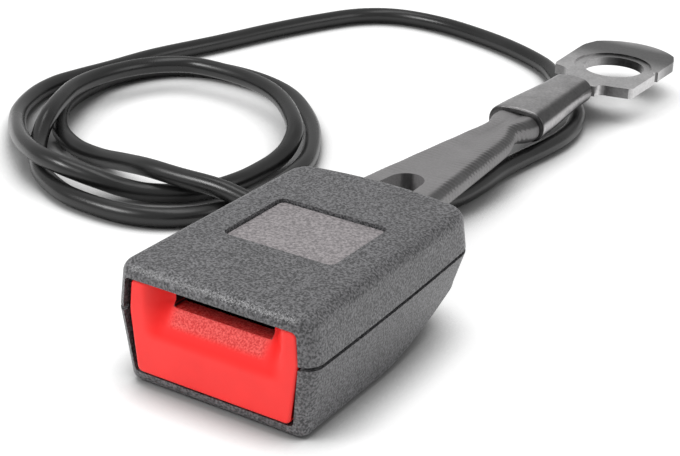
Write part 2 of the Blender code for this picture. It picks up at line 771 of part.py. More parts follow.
def make_press_button():
    rear = BUTTON_FRONT + BUTTON_DEPTH
    button = flat("press_button", aperture(PANEL_GAP), BUTTON_FRONT, rear, RED_PLASTIC, plane="XZ")
    bevel(button, 0.5 * MM)
    pocket = box(
        "button_pocket",
        (-SCOOP_HALF, BUTTON_FRONT + BUTTON_WALL, BUTTON_SPRING_Z - BUTTON_SPRING_HALF - POCKET_ROOM),
        (SCOOP_HALF, rear + CUT_OVER, SCOOP_BOTTOM - 1.8 * MM), cutter=True,
    )
    cut(button, scoop_cutter(), pocket)
    arm_inner = BASE_HALF + 0.8 * MM
    for side in (-1, 1):
        ends = sorted((side * arm_inner, side * (arm_inner + ARM_THICKNESS)))
        arm = box(f"button_arm_{side}", (ends[0], rear - 2 * MM, ARM_BOTTOM),
                  (ends[1], ARM_END, ARM_TOP), cutter=True)
        join(button, arm)
    bore = cylinder(
        "lock_pin_bore", (-2 * BASE_HALF, LOCK_PIN_Y, LOCK_PIN_Z),
        (2 * BASE_HALF, LOCK_PIN_Y, LOCK_PIN_Z), LOCK_PIN_RADIUS + GAP, cutter=True, sides=16,
    )
    return cut(button, bore)


def make_button_springs():
    start = BUTTON_FRONT + BUTTON_WALL + GAP
    end = SPRING_SEAT_Y - GAP
    wire = BUTTON_SPRING_WIRE
    for side, name in ((-1, "button_spring_left"), (1, "button_spring_right")):
        x = side * BUTTON_SPRING_X
        points = coil((x, start + wire, BUTTON_SPRING_Z), (x, end - wire, BUTTON_SPRING_Z),
                      BUTTON_SPRING_RADIUS, 8)
        tube(name, points, wire, SPRING_STEEL, resolution=0)


# Steel frame, latch and pins

def make_base_frame():
    low = BASE_TOP - STEEL
    edge = BASE_HALF - 0.5 * MM
    outline = rounded([
        (-edge, BASE_FRONT), (edge, BASE_FRONT), (edge, SIDE_REAR + 1 * MM),
        (BASE_TAIL_HALF, SIDE_REAR + 5 * MM), (BASE_TAIL_HALF, BASE_REAR),
        (-BASE_TAIL_HALF, BASE_REAR), (-BASE_TAIL_HALF, SIDE_REAR + 5 * MM),
        (-edge, SIDE_REAR + 1 * MM),
    ], 1.5 * MM)
    window = rectangle(-TOOTH_HALF - 1 * MM, TOOTH_HALF + 1 * MM,
                       LATCH_FRONT - 0.7 * MM, LATCH_FRONT + TOOTH_LENGTH + 2.6 * MM)
    key_slot = rectangle(-EJECTOR_KEY_HALF - GAP, EJECTOR_KEY_HALF + GAP,
                         EJECTOR_BRIDGE - 0.3 * MM, EJECTOR_REAR + EJECTOR_TRAVEL + 0.5 * MM)
    rivet_hole = circle(0, SADDLE_Y, RIVET_RADIUS + GAP, 24)
    frame = flat("base_frame", outline, low, BASE_TOP, PLATED_STEEL,
                 holes=(window, key_slot, rivet_hole))
    slot_height = LOCK_PIN_RADIUS + GAP
    pin_slot = rounded(rectangle(
        LOCK_PIN_Y - slot_height, LOCK_PIN_Y + BUTTON_TRAVEL + slot_height,
        LOCK_PIN_Z - slot_height, LOCK_PIN_Z + slot_height), 1.2 * MM)
    pivot_hole = circle(PIVOT_Y, PIVOT_Z, PIVOT_RADIUS + GAP, 24)
    rear_bottom = max(SIDE_BOTTOM, underside(SIDE_REAR) + WALL + SIDE_FLOOR_GAP)
    profile = rounded([(SIDE_FRONT, SIDE_BOTTOM), (SIDE_REAR, rear_bottom),
                       (SIDE_REAR, BASE_TOP - STEEL / 2), (SIDE_FRONT, BASE_TOP - STEEL / 2)],
                      [2 * MM, 2 * MM, 0, 0])
    for side in (-1, 1):
        ends = sorted((side * BASE_HALF, side * (BASE_HALF - STEEL)))
        wall = flat(f"frame_side_{side}", profile, ends[0], ends[1], plane="YZ",
                    holes=(pin_slot, pivot_hole), cutter=True)
        join(frame, wall)
    stop = box("ejector_stop", (-STOP_HALF, STOP_Y, BASE_TOP - STEEL / 2),
               (STOP_HALF, STOP_Y + STOP_THICKNESS, STOP_TOP), cutter=True)
    return join(frame, stop)


def make_latch():
    half = BASE_HALF - STEEL - LATCH_SIDE_GAP
    low = LATCH_BOTTOM
    notch = rectangle(-LATCH_NOTCH_HALF, LATCH_NOTCH_HALF,
                      PIVOT_Y - LATCH_HUB - 0.6 * MM, PIVOT_Y + LATCH_HUB + 0.4 * MM)
    outline = rounded([
        (-half * 0.6, LATCH_FRONT), (half * 0.6, LATCH_FRONT), (half, LATCH_FRONT + 6 * MM),
        (half, LATCH_REAR), (-half, LATCH_REAR), (-half, LATCH_FRONT + 6 * MM),
    ], 1 * MM)
    latch = flat("latch", outline, low, LATCH_TOP, PLATED_STEEL, holes=(notch,))
    front = LATCH_FRONT + 0.4 * MM
    back = LATCH_FRONT + TOOTH_LENGTH
    tooth = flat("latch_tooth", [
        (front, low + 0.5 * MM), (back, low + 0.5 * MM), (back, TOOTH_TOP),
        (back - 1.6 * MM, TOOTH_TOP), (front, TOOTH_TOP - 2.6 * MM),
    ], -TOOTH_HALF, TOOTH_HALF, plane="YZ", cutter=True)
    join(latch, tooth)
    for side in (-1, 1):
        hub = cylinder(f"latch_hub_{side}", (side * (half - 0.4 * MM), PIVOT_Y, PIVOT_Z),
                       (side * (LATCH_NOTCH_HALF + 0.4 * MM), PIVOT_Y, PIVOT_Z), LATCH_HUB,
                       cutter=True, sides=20)
        join(latch, hub)
    bore = cylinder("latch_bore", (-2 * half, PIVOT_Y, PIVOT_Z), (2 * half, PIVOT_Y, PIVOT_Z),
                    PIVOT_RADIUS + GAP, cutter=True)
    cut(latch, bore)
    return latch


def make_pins():
    reach = BASE_HALF + 0.6 * MM
    cylinder("latch_pin", (-reach, PIVOT_Y, PIVOT_Z), (reach, PIVOT_Y, PIVOT_Z), PIVOT_RADIUS,
             PLATED_STEEL, origin=(0, PIVOT_Y, PIVOT_Z))
    reach = BASE_HALF + 0.8 * MM + ARM_THICKNESS
    cylinder("lock_pin", (-reach, LOCK_PIN_Y, LOCK_PIN_Z), (reach, LOCK_PIN_Y, LOCK_PIN_Z),
             LOCK_PIN_RADIUS, PLATED_STEEL, sides=16, origin=(0, LOCK_PIN_Y, LOCK_PIN_Z))


def make_latch_spring():
    """A torsion spring round the pivot pin, both legs to the rear: frame above, latch tail below."""
    wire = 0.35 * MM
    radius = PIVOT_RADIUS + GAP + wire + 0.1 * MM
    turns, per_turn = 4, 10
    half = LATCH_NOTCH_HALF - 1 * MM
    points = [Vector((-half, LATCH_REAR - 1 * MM, BASE_TOP - STEEL - GAP - wire))]
    for step in range(turns * per_turn + 1):
        angle = math.pi / 2 - 2 * math.pi * step / per_turn
        x = -half + 2 * half * step / (turns * per_turn)
        points.append(Vector((x, PIVOT_Y - radius * math.cos(angle),
                              PIVOT_Z + radius * math.sin(angle))))
    points.append(Vector((half, LATCH_REAR - 1 * MM, LATCH_TOP + GAP + wire)))
    return tube("latch_spring", points, wire, SPRING_STEEL, resolution=0)


# Ejector and reminder switch

def ejector_spring_level():
    return BASE_TOP + GAP + EJECTOR_SPRING_RADIUS + EJECTOR_SPRING_WIRE + 0.1 * MM


def make_ejector():
    low = BASE_TOP + GAP
    top = low + EJECTOR_THICKNESS
    cam_front = PLUNGER_Y - EJECTOR_TRAVEL
    cam_rise = PRONG_OUTER - CAM_SLOPE * (CAM_REAR - cam_front)
    outline = [
        (-PRONG_OUTER, EJECTOR_FRONT), (-PRONG_INNER, EJECTOR_FRONT),
        (-PRONG_INNER, EJECTOR_BRIDGE), (PRONG_INNER, EJECTOR_BRIDGE),
        (PRONG_INNER, EJECTOR_FRONT), (PRONG_OUTER, EJECTOR_FRONT),
        (PRONG_OUTER, EJECTOR_REAR), (-PRONG_INNER, EJECTOR_REAR),
        (-PRONG_INNER, CAM_REAR), (-cam_rise, CAM_REAR), (-PRONG_OUTER, cam_front),
    ]
    ejector = flat("ejector", outline, low, top, WHITE_PLASTIC)
    key = box("ejector_key",
              (-EJECTOR_KEY_HALF, EJECTOR_BRIDGE + 0.3 * MM, BASE_TOP - STEEL + 0.3 * MM),
              (EJECTOR_KEY_HALF, EJECTOR_REAR - 0.3 * MM, low + 1 * MM), cutter=True)
    middle = ejector_spring_level()
    boss = cylinder("ejector_boss", (0, EJECTOR_REAR - 1 * MM, middle),
                    (0, EJECTOR_REAR + 3 * MM, middle), 1.1 * MM, cutter=True, sides=12)
    join(ejector, key, boss)
    return ejector


def make_ejector_spring():
    wire = EJECTOR_SPRING_WIRE
    z = ejector_spring_level()
    points = coil((0, EJECTOR_REAR + GAP + wire, z), (0, STOP_Y - GAP - wire, z),
                  EJECTOR_SPRING_RADIUS, 6)
    return tube("ejector_spring", points, wire, SPRING_STEEL, resolution=0)


def make_switch():
    low = BASE_TOP + GAP
    middle = low + EJECTOR_THICKNESS / 2
    body = box("switch_body", (-SWITCH_OUTER, SWITCH_FRONT, low),
               (-SWITCH_INNER, SWITCH_REAR, low + SWITCH_HEIGHT), BLACK_PLASTIC)
    bevel(body, 0.3 * MM)
    bore = cylinder("plunger_bore", (-SWITCH_INNER + CUT_OVER, PLUNGER_Y, middle),
                    (-SWITCH_INNER - 3.4 * MM, PLUNGER_Y, middle), PLUNGER_RADIUS + GAP,
                    cutter=True, sides=16)
    cut(body, bore)
    cam_rest = PRONG_OUTER - CAM_SLOPE * EJECTOR_TRAVEL
    tip = -cam_rest - 2 * GAP
    cylinder("switch_plunger", (tip, PLUNGER_Y, middle), (-SWITCH_INNER - 1.6 * MM, PLUNGER_Y, middle),
             PLUNGER_RADIUS, WHITE_PLASTIC, sides=16, origin=(tip, PLUNGER_Y, middle))
    for index in (0, 1):
        drop = 2.0 * MM * index
        z = low + SWITCH_HEIGHT - 1.0 * MM - drop
        outer = (BASE_HALF + half_width(SIDE_REAR) - WALL - SIDE_DRAFT) / 2
        route = [
            (-SWITCH_INNER - 2.6 * MM, SWITCH_REAR + GAP, z),
            (-SWITCH_INNER - 4.0 * MM, SWITCH_REAR + 3 * MM, z),
            (-outer, SIDE_REAR - 2 * MM, z - 1.5 * MM),
            (-outer, SADDLE_Y - 2 * MM, BASE_TOP - STEEL - 1.5 * MM - drop),
            (-outer + 5 * MM, BASE_REAR - 1 * MM, GROMMET_Z - drop / 2),
            (GROMMET_X, CORD_ROUTE[0][1] * MM - GAP, GROMMET_Z + 0.8 * MM - 0.8 * drop),
        ]
        tube(f"switch_lead_{index + 1}", smooth_route(route, 3 * MM), LEAD_RADIUS, BROWN_WIRE, 1)


# Wire rope, sleeve and saddle

def rope_level():
    return BASE_TOP + GAP + ROPE_RADIUS


def stalk_middle(y):
    """Middle of the stalk at a distance from the front: straight at both ends, curved between."""
    first, last = SLEEVE_FRONT, FERRULE_FRONT
    share = min(max((y - first) / (last - first), 0.0), 1.0)
    drift_start, drift_end = 0.95, 0.70
    span = share**3 * (drift_start + drift_end - 2) + share**2 * (3 - 2 * drift_start - drift_end)
    span += share * drift_start
    return STALK_SHIFT * span, rope_level() + (FERRULE_Z - rope_level()) * span


def leg_spread(y):
    start = SADDLE_RADIUS + GAP + ROPE_RADIUS
    share = min(max((y - SADDLE_REAR) / (SLEEVE_TAPER_END - SADDLE_REAR), 0.0), 1.0)
    return start + (LEG_SPREAD_END - start) * share


def sleeve_half_width(y):
    return leg_spread(y) + sleeve_half_height()


def leg_points(side, first, last, step):
    count = max(round((last - first) / step), 1)
    points = []
    for k in range(count + 1):
        y = first + (last - first) * k / count
        x, z = stalk_middle(y)
        points.append((x + side * leg_spread(y), y, z))
    return points


def make_wire_rope():
    end = FERRULE_FRONT + ROPE_GRIP
    right = leg_points(1, SADDLE_Y, end, 7 * MM)
    left = leg_points(-1, SADDLE_Y, end, 7 * MM)
    radius = leg_spread(SADDLE_Y)
    loop = []
    steps = 12
    for step in range(1, steps):
        angle = math.pi * step / steps
        loop.append((radius * math.cos(angle), SADDLE_Y - radius * math.sin(angle), rope_level()))
    return tube("wire_rope", right[::-1] + loop + left, ROPE_RADIUS, PLATED_STEEL, 2)


def sleeve_ring(y):
    """A stadium section; near the ferrule it closes in between the two legs."""
    x_middle, z_middle = stalk_middle(y)
    half = sleeve_half_height()
    spread = leg_spread(y)
    near_end = min(max((y - (FERRULE_FRONT - LEG_PINCH)) / LEG_PINCH, 0.0), 1.0)
    waist = 1 - 0.45 * near_end
    points = []
    steps = 6
    for step in range(steps + 1):
        angle = -math.pi / 2 + math.pi * step / steps
        points.append((spread + half * math.cos(angle), half * math.sin(angle)))
    right = [(spread * 0.4, -half * (0.5 + 0.5 * waist)), *points,
             (spread * 0.4, half * (0.5 + 0.5 * waist))]
    section = [(0.0, -half * waist), *right, (0.0, half * waist)]
    section += [(-x, z) for x, z in reversed(right)]
    return [(x_middle + x, y, z_middle + z) for x, z in section]


def make_stalk_sleeve():
    end = FERRULE_FRONT - GAP
    steps = 17
    rings = [sleeve_ring(SLEEVE_FRONT + (end - SLEEVE_FRONT) * k / steps) for k in range(steps + 1)]

    def build(shape):
        rows = [[shape.verts.new(placed(point)) for point in row] for row in rings]
        count = len(rows[0])
        for near, far in zip(rows, rows[1:]):
            for index in range(count):
                after = (index + 1) % count
                shape.faces.new((near[index], near[after], far[after], far[index]))
        for row in (rows[0], rows[-1]):
            shape.faces.new(row)

    sleeve = mesh_from("stalk_sleeve", build, SLEEVE_PLASTIC)
    for side in (-1, 1):
        points = leg_points(side, SLEEVE_FRONT - 2 * CUT_OVER, end + 2 * CUT_OVER, 7 * MM)
        bore = tube(f"sleeve_bore_{side}", points, ROPE_RADIUS + GAP, None, 2, cutter=True)
        cut(sleeve, as_mesh(bore))
    cut(sleeve, sleeve_gap_cutter())
    return smooth(sleeve, 35)


def sleeve_gap_cutter():
    """The see-through gap between the two legs, straight at the housing and round at its end."""
    steps = 10
    start = SLEEVE_FRONT - CUT_OVER
    web = ROPE_RADIUS + GAP + 1.1 * SLEEVE_WALL
    round_length = 6 * MM
    right, left = [], []
    for step in range(steps + 1):
        y = start + (SLEEVE_GAP_END - start) * math.sin(math.pi / 2 * step / steps)
        beyond = max(y - (SLEEVE_GAP_END - round_length), 0.0) / round_length
        half = (leg_spread(y) - web) * math.sqrt(max(1 - beyond**2, 0.0))
        x = stalk_middle(y)[0]
        right.append((x + half, y))
        left.append((x - half, y))
    outline = right + left[-2::-1]
    return flat("sleeve_gap", outline, FERRULE_Z, HOUSING_HEIGHT + CUT_OVER, cutter=True)


def make_saddle():
    low = BASE_TOP + GAP
    high = low + SADDLE_HEIGHT
    steps = 12
    front = [(-SADDLE_RADIUS * math.cos(math.pi * k / steps),
              SADDLE_Y - SADDLE_RADIUS * math.sin(math.pi * k / steps)) for k in range(steps + 1)]
    outline = front + [(SADDLE_RADIUS, SADDLE_REAR), (-SADDLE_RADIUS, SADDLE_REAR)]
    flat("cable_saddle", outline, low, high, PLATED_STEEL,
         holes=(circle(0, SADDLE_Y, RIVET_RADIUS + GAP, 24),))
    head = RIVET_HEAD_HEIGHT
    under = BASE_TOP - STEEL - GAP
    turned("saddle_rivet", [
        (0.0, high + GAP + head), (RIVET_HEAD - head, high + GAP + head),
        (RIVET_HEAD, high + GAP), (RIVET_RADIUS, high + GAP), (RIVET_RADIUS, under),
        (RIVET_HEAD, under), (RIVET_HEAD - head, under - 1.4 * MM), (0.0, under - 1.4 * MM),
    ], (0, SADDLE_Y, 0), PLATED_STEEL)


def stadium(half_wide, half_high):
    straight = half_wide - half_high
    steps = 8
    right = [(straight + half_high * math.cos(-math.pi / 2 + math.pi * k / steps),
              half_high * math.sin(-math.pi / 2 + math.pi * k / steps)) for k in range(steps + 1)]
    left = [(-x, -z) for x, z in right]
    return [(x + STALK_SHIFT, z + FERRULE_Z) for x, z in right + left]


def make_ferrule():
    outer = stadium(FERRULE_HALF_WIDTH, FERRULE_HALF_HEIGHT)
    bore = stadium(FERRULE_HALF_WIDTH - FERRULE_WALL, FERRULE_HALF_HEIGHT - FERRULE_WALL)
    ferrule = flat("ferrule", outer, FERRULE_FRONT, FERRULE_FRONT + FERRULE_LENGTH, PLATED_STEEL,
                   plane="XZ", holes=(bore,))
    return bevel(ferrule, 0.4 * MM, angle=60)


# Anchor plate

def make_anchor_plate():
    low = FERRULE_Z - PLATE_THICKNESS / 2
    ferrule_end = FERRULE_FRONT + FERRULE_LENGTH
    tail_start = ferrule_end - TAIL_LENGTH
    reach = math.asin(PLATE_HALF / PLATE_ARC_RADIUS)
    arc = []
    steps = 14
    for step in range(steps + 1):
        angle = reach - 2 * reach * step / steps
        arc.append((PLATE_ARC_RADIUS * math.sin(angle), PLATE_ARC_Y + PLATE_ARC_RADIUS * math.cos(angle)))
    side = [(TAIL_HALF - PLATE_SHIFT, tail_start), (TAIL_HALF - PLATE_SHIFT, ferrule_end + 0.6 * MM),
            (NECK_HALF, ferrule_end + 1.2 * MM), (NECK_HALF, PLATE_NEAR - 4 * MM)]
    fillet = 2.6 * MM
    side += [(NECK_HALF + fillet * (1 - math.cos(a)), PLATE_NEAR - 4 * MM + fillet * math.sin(a))
             for a in (math.pi / 6, math.pi / 3, math.pi / 2)]
    cut_back = [(-PLATE_HALF + 0.3 * MM, PLATE_NEAR + PLATE_CUT_BACK),
                (-PLATE_HALF + 2 * MM, PLATE_NEAR + 0.55 * PLATE_CUT_BACK)]
    cut_back += [(-x, y) for x, y in reversed(side)]
    side += [(PLATE_NEAR_HALF - 3 * MM, PLATE_NEAR - 1.0 * MM), (PLATE_NEAR_HALF, PLATE_NEAR)]
    edge = PLATE_NEAR_HALF + 0.4 * MM
    for step in range(5):
        angle = -math.pi / 2 + math.pi * step / 4
        side.append((edge - PLATE_NOTCH_RADIUS * math.cos(angle),
                     PLATE_NOTCH_Y + PLATE_NOTCH_RADIUS * math.sin(angle)))
    side.append((PLATE_HALF - 0.2 * MM, PLATE_NOTCH_Y + 4 * MM))
    middle = STALK_SHIFT + PLATE_SHIFT
    outline = [(x + middle, y) for x, y in side + arc + cut_back]
    hole = circle(BOLT_HOLE_X, BOLT_HOLE_Y, BOLT_HOLE_RADIUS, 40)
    plate = flat("anchor_plate", outline, low, low + PLATE_THICKNESS, PLATED_STEEL, holes=(hole,))
    top = low + PLATE_THICKNESS
    coin = cylinder("coined_ring", (BOLT_HOLE_X, BOLT_HOLE_Y, top - COIN_DEPTH),
                    (BOLT_HOLE_X, BOLT_HOLE_Y, top + CUT_OVER), COIN_RADIUS, cutter=True, sides=40)
    return cut(plate, coin)


# Lead, grommet and connector

def make_grommet():
    bore = CORD_RADIUS + GAP
    wall_in = HOUSING_LENGTH - REAR_BOW - WALL
    wall_out = HOUSING_LENGTH - REAR_BOW / 2 + GAP
    turned("cord_grommet", [
        (bore, GROMMET_END), (bore + 0.5 * MM, GROMMET_END), (GROMMET_NECK + 0.2 * MM, wall_out + 2 * MM),
        (GROMMET_FLANGE - 0.4 * MM, wall_out + 1.2 * MM), (GROMMET_FLANGE - 0.4 * MM, wall_out),
        (GROMMET_NECK, wall_out), (GROMMET_NECK, wall_in), (bore, wall_in),
    ], (GROMMET_X, 0, GROMMET_Z), CORD_RUBBER, axis="Y", steps=20)


def make_cord():
    route = [tuple(value * MM for value in point) for point in CORD_ROUTE]
    return tube("cord", smooth_route(route, CORD_SPACING), CORD_RADIUS, CORD_RUBBER, 2)


def make_connector():
    end = [value * MM for value in CORD_ROUTE[-1]]
    y = end[1]
    rear = end[0] + GAP
    front = rear + CONNECTOR_LENGTH
    half = CONNECTOR_WIDTH / 2
    low = end[2] - CONNECTOR_HEIGHT / 2
    high = low + CONNECTOR_HEIGHT
    body = box("connector_body", (rear, y - half, low), (front, y + half, high), BLACK_PLASTIC)
    bevel(body, 0.6 * MM)
    rim = 1.2 * MM
    socket_end = front - 9 * MM
    socket = box("connector_socket", (socket_end, y - half + rim, low + rim),
                 (front + CUT_OVER, y + half - rim, high - rim), cutter=True)
    ramp = box("connector_ramp", (rear + 8 * MM, y - 2 * MM, high - rim),
               (front - 4 * MM, y + 2 * MM, high + rim), cutter=True)
    cut(body, socket)
    join(body, ramp)
    for index, side in enumerate((-1, 1)):
        place = y + side * TERMINAL_SPACING / 2
        box(f"connector_terminal_{index + 1}",
            (socket_end + GAP, place - 0.6 * MM, end[2] - 0.4 * MM),
            (socket_end + GAP + TERMINAL_LENGTH, place + 0.6 * MM, end[2] + 0.4 * MM), BRASS)


def main():
    make_upper_cover()
    make_lower_cover()
    make_label_plate()
    make_press_button()
    make_button_springs()
    make_base_frame()
    make_latch()
    make_pins()
    make_latch_spring()
    make_ejector()
    make_ejector_spring()
    make_switch()
    make_wire_rope()
    make_stalk_sleeve()
    make_saddle()
    make_ferrule()
    make_anchor_plate()
    make_grommet()
    make_cord()
    make_connector()


main()
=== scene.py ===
"""Looks of the seat belt buckle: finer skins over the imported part, materials, light and camera.

Metres, in the part's own frame. Distances along Y are given from the front face, as in the part's
source, and placed() moves them.
"""

import json
import math

import bmesh
import bpy
from mathutils import Matrix, Vector


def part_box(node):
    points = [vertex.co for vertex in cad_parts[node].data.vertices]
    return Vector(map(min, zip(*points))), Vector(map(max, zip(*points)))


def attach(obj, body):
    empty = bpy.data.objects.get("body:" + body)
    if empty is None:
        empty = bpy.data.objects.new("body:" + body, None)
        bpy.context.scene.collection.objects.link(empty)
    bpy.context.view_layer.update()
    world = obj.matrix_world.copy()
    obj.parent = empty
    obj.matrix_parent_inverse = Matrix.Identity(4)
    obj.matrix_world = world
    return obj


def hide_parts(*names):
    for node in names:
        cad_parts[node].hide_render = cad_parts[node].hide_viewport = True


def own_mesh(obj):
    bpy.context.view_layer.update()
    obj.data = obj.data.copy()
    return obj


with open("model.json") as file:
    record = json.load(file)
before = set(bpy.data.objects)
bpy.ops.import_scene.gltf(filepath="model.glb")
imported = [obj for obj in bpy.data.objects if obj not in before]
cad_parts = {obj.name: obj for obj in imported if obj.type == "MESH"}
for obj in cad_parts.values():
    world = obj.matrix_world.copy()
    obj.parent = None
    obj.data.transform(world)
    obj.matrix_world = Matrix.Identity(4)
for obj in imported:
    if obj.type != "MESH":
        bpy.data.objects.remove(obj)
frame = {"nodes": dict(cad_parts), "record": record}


def write_size():
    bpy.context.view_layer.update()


write_size()

MM = 0.001
REST_Y = 17.0 * MM

GAP = 0.3 * MM
PANEL_GAP = 0.35 * MM
OVER = 1.0 * MM

FRONT_WIDTH = 49.4 * MM
REAR_WIDTH = 48.0 * MM
HOUSING_LENGTH = 71.4 * MM
HOUSING_HEIGHT = 29.2 * MM
REAR_BOW = 1.6 * MM
FRONT_CORNER = 4.2 * MM
REAR_CORNER = 6.5 * MM
TOP_EDGE = 3.2 * MM
BOTTOM_EDGE = 2.4 * MM
PARTING_Z = 17.9 * MM
SEAM_RISE = 2.2 * MM
SIDE_FLARE = 0.9 * MM
SEAM = 0.9 * MM
SIDE_DRAFT = 1.6 * MM
REST_LENGTH = 34.0 * MM
REAR_RISE = 11.8 * MM
WALL = 2.6 * MM
TOP_WALL = 2.5 * MM

APERTURE_HALF = 21.4 * MM
APERTURE_TOP = 25.8 * MM
APERTURE_BOTTOM = 3.2 * MM
APERTURE_DRAFT = 1.3 * MM
APERTURE_FLARE = 0.6 * MM
APERTURE_BULGE = 12.0 * MM
APERTURE_CORNER = 1.4 * MM
APERTURE_ROOM = 0.5 * MM
BUTTON_FRONT = 0.7 * MM
BUTTON_DEPTH = 7.8 * MM
BUTTON_WALL = 2.3 * MM
BUTTON_EDGE = 0.6 * MM
SCOOP_EDGE = 18.2 * MM
SCOOP_HALF = 16.2 * MM
SCOOP_BOTTOM = 14.6 * MM
SLOT_HALF = 12.7 * MM
POCKET_BOTTOM = 5.9 * MM
ARM_INNER = 16.3 * MM
ARM_THICKNESS = 2.2 * MM
ARM_END = 33.5 * MM
ARM_BOTTOM = 7.5 * MM
ARM_TOP = 13.6 * MM
LOCK_PIN_Y = 29.0 * MM
LOCK_PIN_Z = 10.0 * MM
LOCK_PIN_RADIUS = 1.5 * MM
SLOT_BOTTOM = 20.9 * MM
SLOT_LEAD_IN = 1.3 * MM

LABEL_HALF_WIDTH = 14.5 * MM
LABEL_FRONT = 24.2 * MM
LABEL_REAR = 47.6 * MM
LABEL_CORNER = 1.8 * MM
LABEL_THICKNESS = 0.5 * MM
LABEL_SUNK = 0.8 * MM

BASE_TOP = 20.6 * MM
ROPE_RADIUS = 2.3 * MM
SADDLE_Y = 57.0 * MM
SADDLE_RADIUS = 6.5 * MM
SADDLE_REAR = 62.0 * MM
SLEEVE_FRONT = 66.5 * MM
SLEEVE_WALL = 0.6 * MM
SLEEVE_TAPER_END = 146.0 * MM
STALK_SHIFT = -12.5 * MM
LEG_SPREAD_END = 3.75 * MM
SLEEVE_GAP_END = 90.0 * MM
STRAND_PITCH = 2.3 * MM
STRAND_PRINT = 0.17 * MM
FERRULE_FRONT = 167.0 * MM
FERRULE_LENGTH = 37.0 * MM
FERRULE_HALF_WIDTH = 8.2 * MM
FERRULE_HALF_HEIGHT = 4.1 * MM
FERRULE_WALL = 1.5 * MM
FERRULE_Z = 10.2 * MM

PLATE_THICKNESS = 3.2 * MM
PLATE_HALF = 15.4 * MM
PLATE_SHIFT = 1.0 * MM
PLATE_NEAR_HALF = 15.0 * MM
PLATE_NEAR = 209.4 * MM
PLATE_CUT_BACK = 7.6 * MM
PLATE_ARC_Y = 232.6 * MM
PLATE_ARC_RADIUS = 19.0 * MM
PLATE_NOTCH_Y = 227.6 * MM
PLATE_NOTCH_RADIUS = 1.3 * MM
NECK_HALF = 6.4 * MM
TAIL_HALF = 4.6 * MM
TAIL_LENGTH = 12.0 * MM
BOLT_HOLE_X = STALK_SHIFT + 2.0 * MM
BOLT_HOLE_Y = 226.7 * MM
BOLT_HOLE_RADIUS = 9.7 * MM
COIN_RADIUS = 12.0 * MM
COIN_DEPTH = 0.5 * MM

CORD_RADIUS = 2.6 * MM
CORD_STEPS = 6
GROMMET_X = -14.0 * MM
GROMMET_Z = 16.3 * MM
GROMMET_NECK = 3.4 * MM
GROMMET_FLANGE = 4.3 * MM
GROMMET_END = 81.0 * MM

# The lead's route in millimetres from the front face, the same points as in the part's source.
CORD_ROUTE = [
    (-14, 67, 16.3), (-14, 76, 16.3), (-14, 84, 15.7), (-13.8, 96, 11.3), (-12.4, 110, 5.6),
    (-9.8, 123, 3), (-8.9, 136, 2.7), (-9.1, 149, 2.7), (-8.1, 160, 2.7), (-6.6, 171, 2.7),
    (-5.8, 182, 2.7), (-7.2, 193, 2.7), (-11.5, 204, 2.7), (-19.5, 214.5, 2.8), (-28.5, 226, 2.8),
    (-38.5, 237, 2.7), (-54, 245.8, 2.7), (-70.6, 251.6, 2.7), (-88, 255, 2.7),
    (-104.5, 253.5, 2.7), (-116, 245.5, 2.7), (-124, 231, 2.7), (-131.5, 212, 2.7),
    (-138.2, 191, 2.7), (-146.6, 167.5, 2.7), (-150.4, 149.2, 2.7), (-153.2, 137.7, 2.7),
    (-154.8, 127.5, 2.7), (-152.6, 115.6, 2.8), (-144.6, 100.3, 3.6), (-127.2, 82, 6.6),
    (-112.2, 72, 8.5), (-102.2, 69.6, 8.5), (-95.1, 70.3, 7.4), (-89.1, 72.1, 6),
    (-83.6, 75.2, 4.1), (-78, 79, 2.9), (-70.6, 84.6, 2.7), (-66.2, 91.5, 2.7), (-64, 99.6, 2.7),
    (-63.4, 108, 2.7), (-63, 116.5, 3.4), (-63.9, 124.3, 5), (-68.4, 133.7, 7.4),
    (-82.9, 147.3, 8.4), (-99.2, 154.8, 8.4), (-118, 156, 8.4), (-127.8, 151.5, 8.4),
    (-134.5, 142.6, 8.4), (-138.1, 130.1, 8.4), (-137.6, 117.9, 8.5), (-133.8, 106.8, 8.5),
    (-130.4, 98.2, 7.6), (-127.7, 91.7, 5.2), (-122.6, 84, 2.9), (-111.8, 73.2, 2.7),
    (-99, 66.4, 2.7), (-88.5, 64.3, 2.7), (-76, 64.6, 2.7), (-66.1, 68.3, 2.7), (-58.5, 76, 2.7),
    (-54.5, 87, 2.7), (-53.2, 99, 2.7), (-54.3, 112, 2.7), (-58, 125.5, 2.7), (-68.6, 143.4, 2.7),
    (-81.5, 157, 2.7), (-92.5, 164.8, 2.7), (-104.6, 168.8, 2.7), (-117.7, 169.4, 2.7),
    (-127.9, 166.9, 2.7), (-135.5, 161.9, 2.7), (-141.2, 153.4, 2.7), (-144.3, 142.5, 2.7),
    (-144.3, 132.8, 2.7), (-142.9, 123.7, 2.7), (-139.5, 114.6, 2.7), (-133.2, 105.5, 2.7),
    (-125.1, 97.6, 2.7), (-114.6, 92, 2.7), (-104.3, 89.6, 3.2), (-93.3, 86.2, 5.6),
    (-81.7, 82.3, 8.2), (-70.2, 81.2, 8.7), (-58, 81.7, 8.6), (-49.5, 82.2, 7.2), (-41.5, 83, 5),
    (-33, 83.8, 3.7), (-24, 84, 3.5),
]


def placed(point):
    return Vector((point[0], point[1] - REST_Y, point[2]))


def add_object(name, data):
    obj = bpy.data.objects.new(name, data)
    bpy.context.scene.collection.objects.link(obj)
    return obj


# Camera

CAMERA_LENS, CAMERA_SENSOR = 90.06, 36.0
CAMERA_CLIP = 0.01, 20.0
CAMERA_PLACE = 0.18582, -0.26634, 0.18709
CAMERA_TARGET = -0.01419, 0.05599, 0.012
CAMERA_ROLL = math.radians(1.74)


